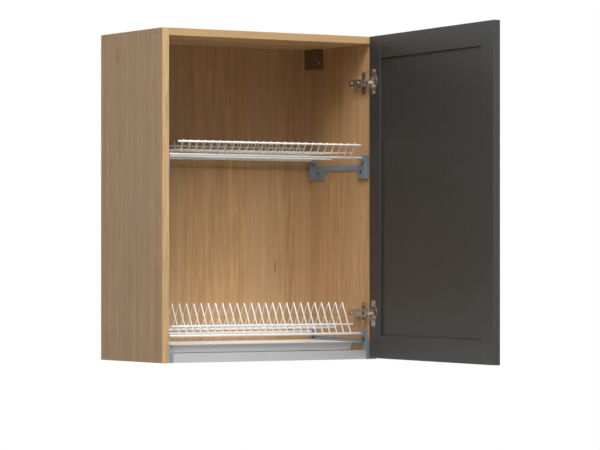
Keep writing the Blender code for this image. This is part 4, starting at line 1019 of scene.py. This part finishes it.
@dataclass
class RackSet:
    """The flat cup rack and the plate rack with its standing loops."""

    pitch: float = 0.020
    count: int = 25
    wire: float = 0.0016
    thick: float = 0.0030
    slim: float = 0.0025
    weld: float = 0.0011
    thick_half: float = 0.2779
    slim_half: float = 0.256
    front_ahead: float = 0.2795
    rear_ahead: float = 0.0495
    cup_height: float = 0.492
    plate_height: float = 0.0627
    bend_past: float = 0.003
    tip_spare: float = 0.003
    floor_bend: float = 0.006
    lip_rise: float = 0.030
    lip_ahead: float = 0.0225
    lip_behind: float = 0.013
    middle_ahead: float = 0.167
    peak: Plan = (0.2384, 0.1465)
    valley: Plan = (0.207, 0.0805)
    peak_bend: float = 0.0045
    foot_drop: float = 0.002
    tail_past: float = 0.005
    leg_rail_height: float = 0.0862
    floor_rail_behind: float = 0.022

    def rods(self, rod: BentRod) -> list[Piece]:
        """Bend one wire and copy it across the rack.

        Args:
            rod: The wire's shape.

        Returns:
            All the wires.
        """
        first = -self.pitch * (self.count - 1) / 2
        wires = [rod.build(first)]
        for i in range(1, self.count):
            wires.append(copy(wires[0], f"{rod.name}_{i}", (self.pitch * i, 0.0, 0.0)))
        return wires

    def tip_past(self, bend: Plan, line: Plan, touch: float, way: float) -> Plan:
        """Where a straight wire from a bend ends, just past a rail.

        Args:
            bend: The bend, as place ahead of the wall and height.
            line: The rail's middle.
            touch: How far the wire's middle passes from it.
            way: 1 or -1 for the side of the rail.

        Returns:
            The tip's place.
        """
        reach_y, reach_z = line[0] - bend[0], line[1] - bend[1]
        length = math.hypot(reach_y, reach_z)
        heading = math.atan2(reach_z, reach_y) + way * math.asin(touch / length)
        run = math.sqrt(length ** 2 - touch ** 2) + self.tip_spare
        return bend[0] + math.cos(heading) * run, bend[1] + math.sin(heading) * run

    def welded(self, name: str, path: Sequence[Plan], bend: float, lines: Sequence[Line]) -> Piece:
        """Weld a rack from its bent wires and its rails.

        Args:
            name: The rack's name.
            path: A wire's corners, as places ahead of the wall and heights from the bottom.
            bend: The radius of its bends.
            lines: Each rail's place, radius and half length.

        Returns:
            The rack as one piece.
        """
        corners = [(-ahead, height - ORIGIN_HEIGHT) for ahead, height in path]
        parts = self.rods(BentRod(f"{name}_wire", self.wire, corners, bend))
        for i, ((ahead, height), radius, half) in enumerate(lines):
            parts.append(rail(f"{name}_rail_{i}", radius, half, -ahead, height - ORIGIN_HEIGHT))
        return join(f"{name}_dressed", parts)

    def cup_rack(self) -> Piece:
        """Make the upper rack.

        Returns:
            The rack as one piece.
        """
        level = self.cup_height
        floor = level + self.thick + self.wire - self.weld
        touch = self.slim + self.wire - self.weld
        front_top = (self.front_ahead + self.lip_ahead, level + self.lip_rise)
        rear_top = (self.rear_ahead - self.lip_behind, level + self.lip_rise)
        front_bend = (self.front_ahead + self.bend_past, floor)
        rear_bend = (self.rear_ahead - self.bend_past, floor)
        path = [
            self.tip_past(front_bend, front_top, touch, 1.0),
            front_bend,
            rear_bend,
            self.tip_past(rear_bend, rear_top, touch, -1.0),
        ]
        lines = [
            ((self.front_ahead, level), self.thick, self.thick_half),
            ((self.rear_ahead, level), self.thick, self.thick_half),
            ((self.middle_ahead, level), self.thick, self.slim_half),
            (front_top, self.slim, self.slim_half),
            (rear_top, self.slim, self.slim_half),
        ]
        return self.welded("cup_rack", path, self.floor_bend, lines)

    def beside(self, start: Plan, end: Plan, share: float, away: float) -> Plan:
        """A place at a share of the way between two, moved square to the line and downwards.

        Args:
            start: Where the line starts.
            end: Where it ends.
            share: How much of it lies before the place.
            away: How far the place is moved.

        Returns:
            The moved place.
        """
        along = Vector((end[0] - start[0], end[1] - start[1])).normalized()
        square = Vector((along.y, -along.x))
        if square.y > 0:
            square = -square
        place = Vector(start).lerp(Vector(end), share) + square * away
        return place.x, place.y

    def plate_rack(self) -> Piece:
        """Make the lower rack.

        Returns:
            The rack as one piece.
        """
        level = self.plate_height
        reach = self.thick + self.wire - self.weld
        touch = self.slim + self.wire - self.weld
        foot = (self.front_ahead + reach, level - self.foot_drop)
        peak, valley = self.peak, self.valley
        tail = (self.rear_ahead - self.tail_past, level + reach)
        leg_share = (self.leg_rail_height - foot[1]) / (peak[1] - foot[1])
        floor_share = self.floor_rail_behind / math.hypot(valley[0] - tail[0], valley[1] - tail[1])
        lines = [
            ((self.front_ahead, level), self.thick, self.thick_half),
            ((self.rear_ahead, level), self.thick, self.thick_half),
            (self.beside(foot, peak, leg_share, touch), self.slim, self.slim_half),
            (self.beside(valley, tail, floor_share, touch), self.slim, self.slim_half),
        ]
        return self.welded("plate_rack", [foot, peak, valley, tail], self.peak_bend, lines)

    def build(self, fitter: Fitter) -> None:
        """Fit both racks.

        Args:
            fitter: What pieces are hung with.
        """
        fitter.fit(self.cup_rack(), "cup_rack", "white_coating", ["cup_rack"])
        fitter.fit(self.plate_rack(), "plate_rack", "white_coating", ["plate_rack"])


@dataclass
class DripTray:
    """The pressed tray: flat rim, drafted walls and a floor with a shallow channel round it."""

    left: float = -0.2735
    right: float = 0.252
    front: float = -0.289
    rear: float = -0.056
    top: float = 0.0420 - ORIGIN_HEIGHT
    floor: float = 0.0240 - ORIGIN_HEIGHT
    rim: float = 0.004
    draft: float = 0.004
    sheet: float = 0.0012
    corner: float = 0.010
    corner_segments: int = 7
    channel_inset: float = 0.012
    channel_width: float = 0.004
    channel_depth: float = 0.0008
    rounding: float = 0.0004
    rounding_angle: float = 30.0
    smooth_angle: float = 40.0

    def build(self, fitter: Fitter) -> None:
        """Press the tray from a flat sheet and fit it.

        Args:
            fitter: What pieces are hung with.
        """
        centre = ((self.left + self.right) / 2, (self.front + self.rear) / 2, self.top)
        bpy.ops.mesh.primitive_plane_add(size=1.0, location=centre)
        bpy.context.view_layer.objects.active.scale = (self.right - self.left, self.rear - self.front, 1.0)
        tray = begin("drip_tray_dressed")
        edit(tray, "VERT")
        bpy.ops.mesh.bevel(offset=self.corner, segments=self.corner_segments, affect="VERTICES")
        bpy.ops.mesh.select_mode(type="FACE")
        bpy.ops.mesh.select_all(action="SELECT")
        depth = self.top - self.floor - self.sheet
        steps = (
            (self.rim + self.sheet, 0.0),
            (self.draft, -depth),
            (self.channel_inset, 0.0),
            (self.channel_width, -self.channel_depth),
            (self.channel_width, self.channel_depth),
        )
        width, length = self.right - self.left, self.rear - self.front
        for inset, drop in steps:
            bpy.ops.mesh.extrude_region_move(TRANSFORM_OT_translate={"value": (0.0, 0.0, drop)})
            shares = (1 - 2 * inset / width, 1 - 2 * inset / length, 1.0)
            bpy.ops.transform.resize(value=shares, center_override=centre)
            width, length = width - 2 * inset, length - 2 * inset
        close()
        modify(tray, "SOLIDIFY", thickness=self.sheet, offset=-1.0)
        bevel(tray, self.rounding, self.rounding_angle)
        smooth(tray, self.smooth_angle)
        modify(tray, "WEIGHTED_NORMAL", keep_sharp=True)
        fitter.fit(tray, "drip_tray", "pressed_tray", ["drip_tray"])


@dataclass
class CrossScrews:
    """Pan-head wood screws with a cross recess, from the CAD screws they stand for."""

    recess_length: float = 0.0042
    recess_width: float = 0.0011
    recess_depth: float = 0.0012
    rounding: float = 0.0003

    def build(self, fitter: Fitter, node: str, way: float) -> None:
        """Round one screw's head, sink its recess and fit it.

        Args:
            fitter: What pieces are hung with.
            node: The CAD screw.
            way: Where its head points: 1 to the right, -1 to the left.
        """
        screw = softened(node, self.rounding)
        low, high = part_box(node)
        face = high[0] if way > 0 else low[0]
        centre = (face, (low[1] + high[1]) / 2, (low[2] + high[2]) / 2)
        arms = []
        sides = (self.recess_length, self.recess_width)
        for length, width in (sides, sides[::-1]):
            bpy.ops.mesh.primitive_cube_add(size=1.0, location=centre)
            bpy.context.view_layer.objects.active.scale = (self.recess_depth * 2, length, width)
            arms.append(begin(f"recess_{len(arms)}"))
        for arm in arms:
            modify(screw, "BOOLEAN", object=arm, operation="DIFFERENCE", solver="EXACT")
            bpy.data.objects.remove(arm, do_unlink=True)
        smooth(screw)
        # The heads are painted near black, the painted shade of their screw holes.
        fitter.fit(screw, "cabinet", "screw_painted_shade", [node])


@dataclass
class Brackets:
    """The moulded side brackets of both racks, and their screws."""

    rounding: float = 0.0004
    screws: CrossScrews = field(default_factory=CrossScrews)

    def build(self, fitter: Fitter) -> None:
        """Fit the brackets with moulded edges, and the cross-headed screws.

        Args:
            fitter: What pieces are hung with.
        """
        for side in Side:
            inwards = 1.0 if side is Side.LEFT else -1.0
            for level in ("upper", "lower"):
                node = f"{level}_bracket_{side.value}"
                bracket = softened(node, self.rounding)
                fitter.fit(bracket, "cabinet", "slate_plastic", [node])
                for end in ("front", "rear"):
                    self.screws.build(fitter, f"bracket_screw_{side.value}_{level}_{end}", inwards)


@dataclass
class Hinges:
    """Two concealed hinges: plates, arms, links, cups and screws."""

    rounding: float = 0.0003
    screws: CrossScrews = field(default_factory=CrossScrews)

    def build(self, fitter: Fitter) -> None:
        """Fit every hinge piece with rounded stampings.

        Args:
            fitter: What pieces are hung with.
        """
        for level in ("bottom", "top"):
            bodies = {
                f"hinge_plate_{level}": "cabinet",
                f"hinge_arm_{level}": "cabinet",
                f"hinge_cup_{level}": "door",
                f"outer_link_{level}": "hinge_outer_links",
                f"inner_link_{level}": "hinge_inner_links",
            }
            for node, body in bodies.items():
                piece = softened(node, self.rounding)
                fitter.fit(piece, body, "nickel_plate", [node])
            for place in ("lower", "upper"):
                self.screws.build(fitter, f"hinge_plate_screw_{place}_{level}", -1.0)
            for place in ("outer", "inner"):
                fitter.dress(f"hinge_pin_{place}_{level}", "zinc_plate")


@dataclass
class Hangers:
    """The cabinet hangers in the top rear corners."""

    rounding: float = 0.0006

    def build(self, fitter: Fitter) -> None:
        """Fit the housings and dress what moves in them.

        Args:
            fitter: What pieces are hung with.
        """
        for side in Side:
            node = f"hanger_housing_{side.value}"
            housing = softened(node, self.rounding)
            fitter.fit(housing, "cabinet", "brown_plastic", [node])
            for part in ("carriage", "hook", "depth_screw", "height_screw"):
                fitter.dress(f"hanger_{part}_{side.value}", "zinc_plate")


# Studio


@dataclass(frozen=True)
class Lamp:
    """One square soft light: its place, its side in metres and its power in watts."""

    name: str
    place: Point
    size: float
    watts: float


@dataclass
class Studio:
    """The photograph's camera, the soft lights and the pale floor."""

    camera_place: Point = (-3.8006, -6.5485, 0.24237 - ORIGIN_HEIGHT)
    camera_turn: float = -31.859
    focal_pixels: float = 3051.75
    frame_pixels: float = 600.0
    sensor_width: float = 36.0
    clip_end: float = 60.0
    horizon_drop: float = 34.956
    floor_drop: float = 1.35
    floor_radius: float = 3.2
    floor_centre: Plan = (0.0, -0.2)
    floor_sides: int = 96
    floor_tone: Colour = (0.80, 0.80, 0.80)
    floor_roughness: float = 0.8
    middle: Point = (0.05, -0.2, -0.39)
    room_tint: Colour = (1.0, 0.98, 0.96)
    room_strength: float = 0.030
    seen_tint: Colour = (1.0, 1.0, 1.0)
    lamps: tuple[Lamp, ...] = (
        Lamp("left_key", (-2.3, -2.7, 3.2), 2.2, 154.0),
        Lamp("front_key", (0.3, -2.7, 3.7), 1.8, 238.0),
        Lamp("left_fill", (-3.6, -2.6, 1.7), 2.2, 32.0),
        Lamp("rear_fill", (2.3, 3.0, 2.2), 2.2, 75.0),
    )

    def camera(self) -> None:
        """Stand the camera where the photograph was taken."""
        bpy.ops.object.camera_add(location=self.camera_place)
        camera = bpy.context.view_layer.objects.active
        camera.name = "photo_camera"
        camera.rotation_euler = (math.pi / 2, 0.0, math.radians(self.camera_turn))
        camera.data.sensor_width = self.sensor_width
        camera.data.lens = self.focal_pixels / self.frame_pixels * self.sensor_width
        camera.data.shift_y = self.horizon_drop / self.frame_pixels
        camera.data.clip_end = self.clip_end
        bpy.context.scene.camera = camera

    def hang(self, lamp: Lamp) -> None:
        """Hang one square soft light that looks at the cabinet.

        Args:
            lamp: The light.
        """
        bpy.ops.object.light_add(type="AREA", location=lamp.place)
        light = bpy.context.view_layer.objects.active
        light.name = lamp.name
        light.data.size = lamp.size
        light.data.energy = lamp.watts
        aim = Vector(self.middle) - Vector(lamp.place)
        light.rotation_euler = aim.to_track_quat("-Z", "Y").to_euler()

    def world(self) -> None:
        """A pale room that camera, gloss and glass see as white."""
        world = bpy.data.worlds.new("studio_room")
        bpy.context.scene.world = world
        world.use_nodes = True
        tree = world.node_tree
        tree.nodes.clear()
        kinds = ("OutputWorld", "MixShader", "Background", "Background", "LightPath")
        output, mix, room, seen, path = (tree.nodes.new(f"ShaderNode{kind}") for kind in kinds)
        room.inputs[0].default_value = (*self.room_tint, 1.0)
        room.inputs[1].default_value = self.room_strength
        seen.inputs[0].default_value = (*self.seen_tint, 1.0)
        seen_by = path.outputs["Is Camera Ray"]
        for name in ("Is Glossy Ray", "Is Transmission Ray"):
            either = tree.nodes.new("ShaderNodeMath")
            either.operation = "MAXIMUM"
            tree.links.new(seen_by, either.inputs[0])
            tree.links.new(path.outputs[name], either.inputs[1])
            seen_by = either.outputs[0]
        tree.links.new(seen_by, mix.inputs[0])
        tree.links.new(room.outputs[0], mix.inputs[1])
        tree.links.new(seen.outputs[0], mix.inputs[2])
        tree.links.new(mix.outputs[0], output.inputs[0])

    def floor(self) -> None:
        """Lay a round pale floor under the cabinet."""
        centre = (*self.floor_centre, CAD_BOX[0][2] - self.floor_drop)
        bpy.ops.mesh.primitive_circle_add(
            vertices=self.floor_sides,
            radius=self.floor_radius,
            fill_type="NGON",
            location=centre,
        )
        floor = begin("studio_floor")
        shader = Shader("pale_floor")
        floor.data.materials.append(shader.finish(self.floor_tone, self.floor_roughness))

    def build(self) -> None:
        """Set up camera, lights, room and floor."""
        self.camera()
        self.world()
        for lamp in self.lamps:
            self.hang(lamp)
        self.floor()
        bpy.context.scene.view_settings.view_transform = "Standard"


def main() -> None:
    """Build the cabinet's looks in order."""
    logging.basicConfig(level=logging.INFO, format="%(name)s: %(message)s")
    fitter = Fitter(make_finishes())
    for assembly in (Carcass(), Door(), RackSet(), DripTray(), Brackets(), Hinges(), Hangers()):
        assembly.build(fitter)
        LOG.info("%s is done", type(assembly).__name__)
    Studio().build()
    LOG.info("pieces fitted: %d", len(fitter.fitted))


if __name__ == "__main__":
    main()
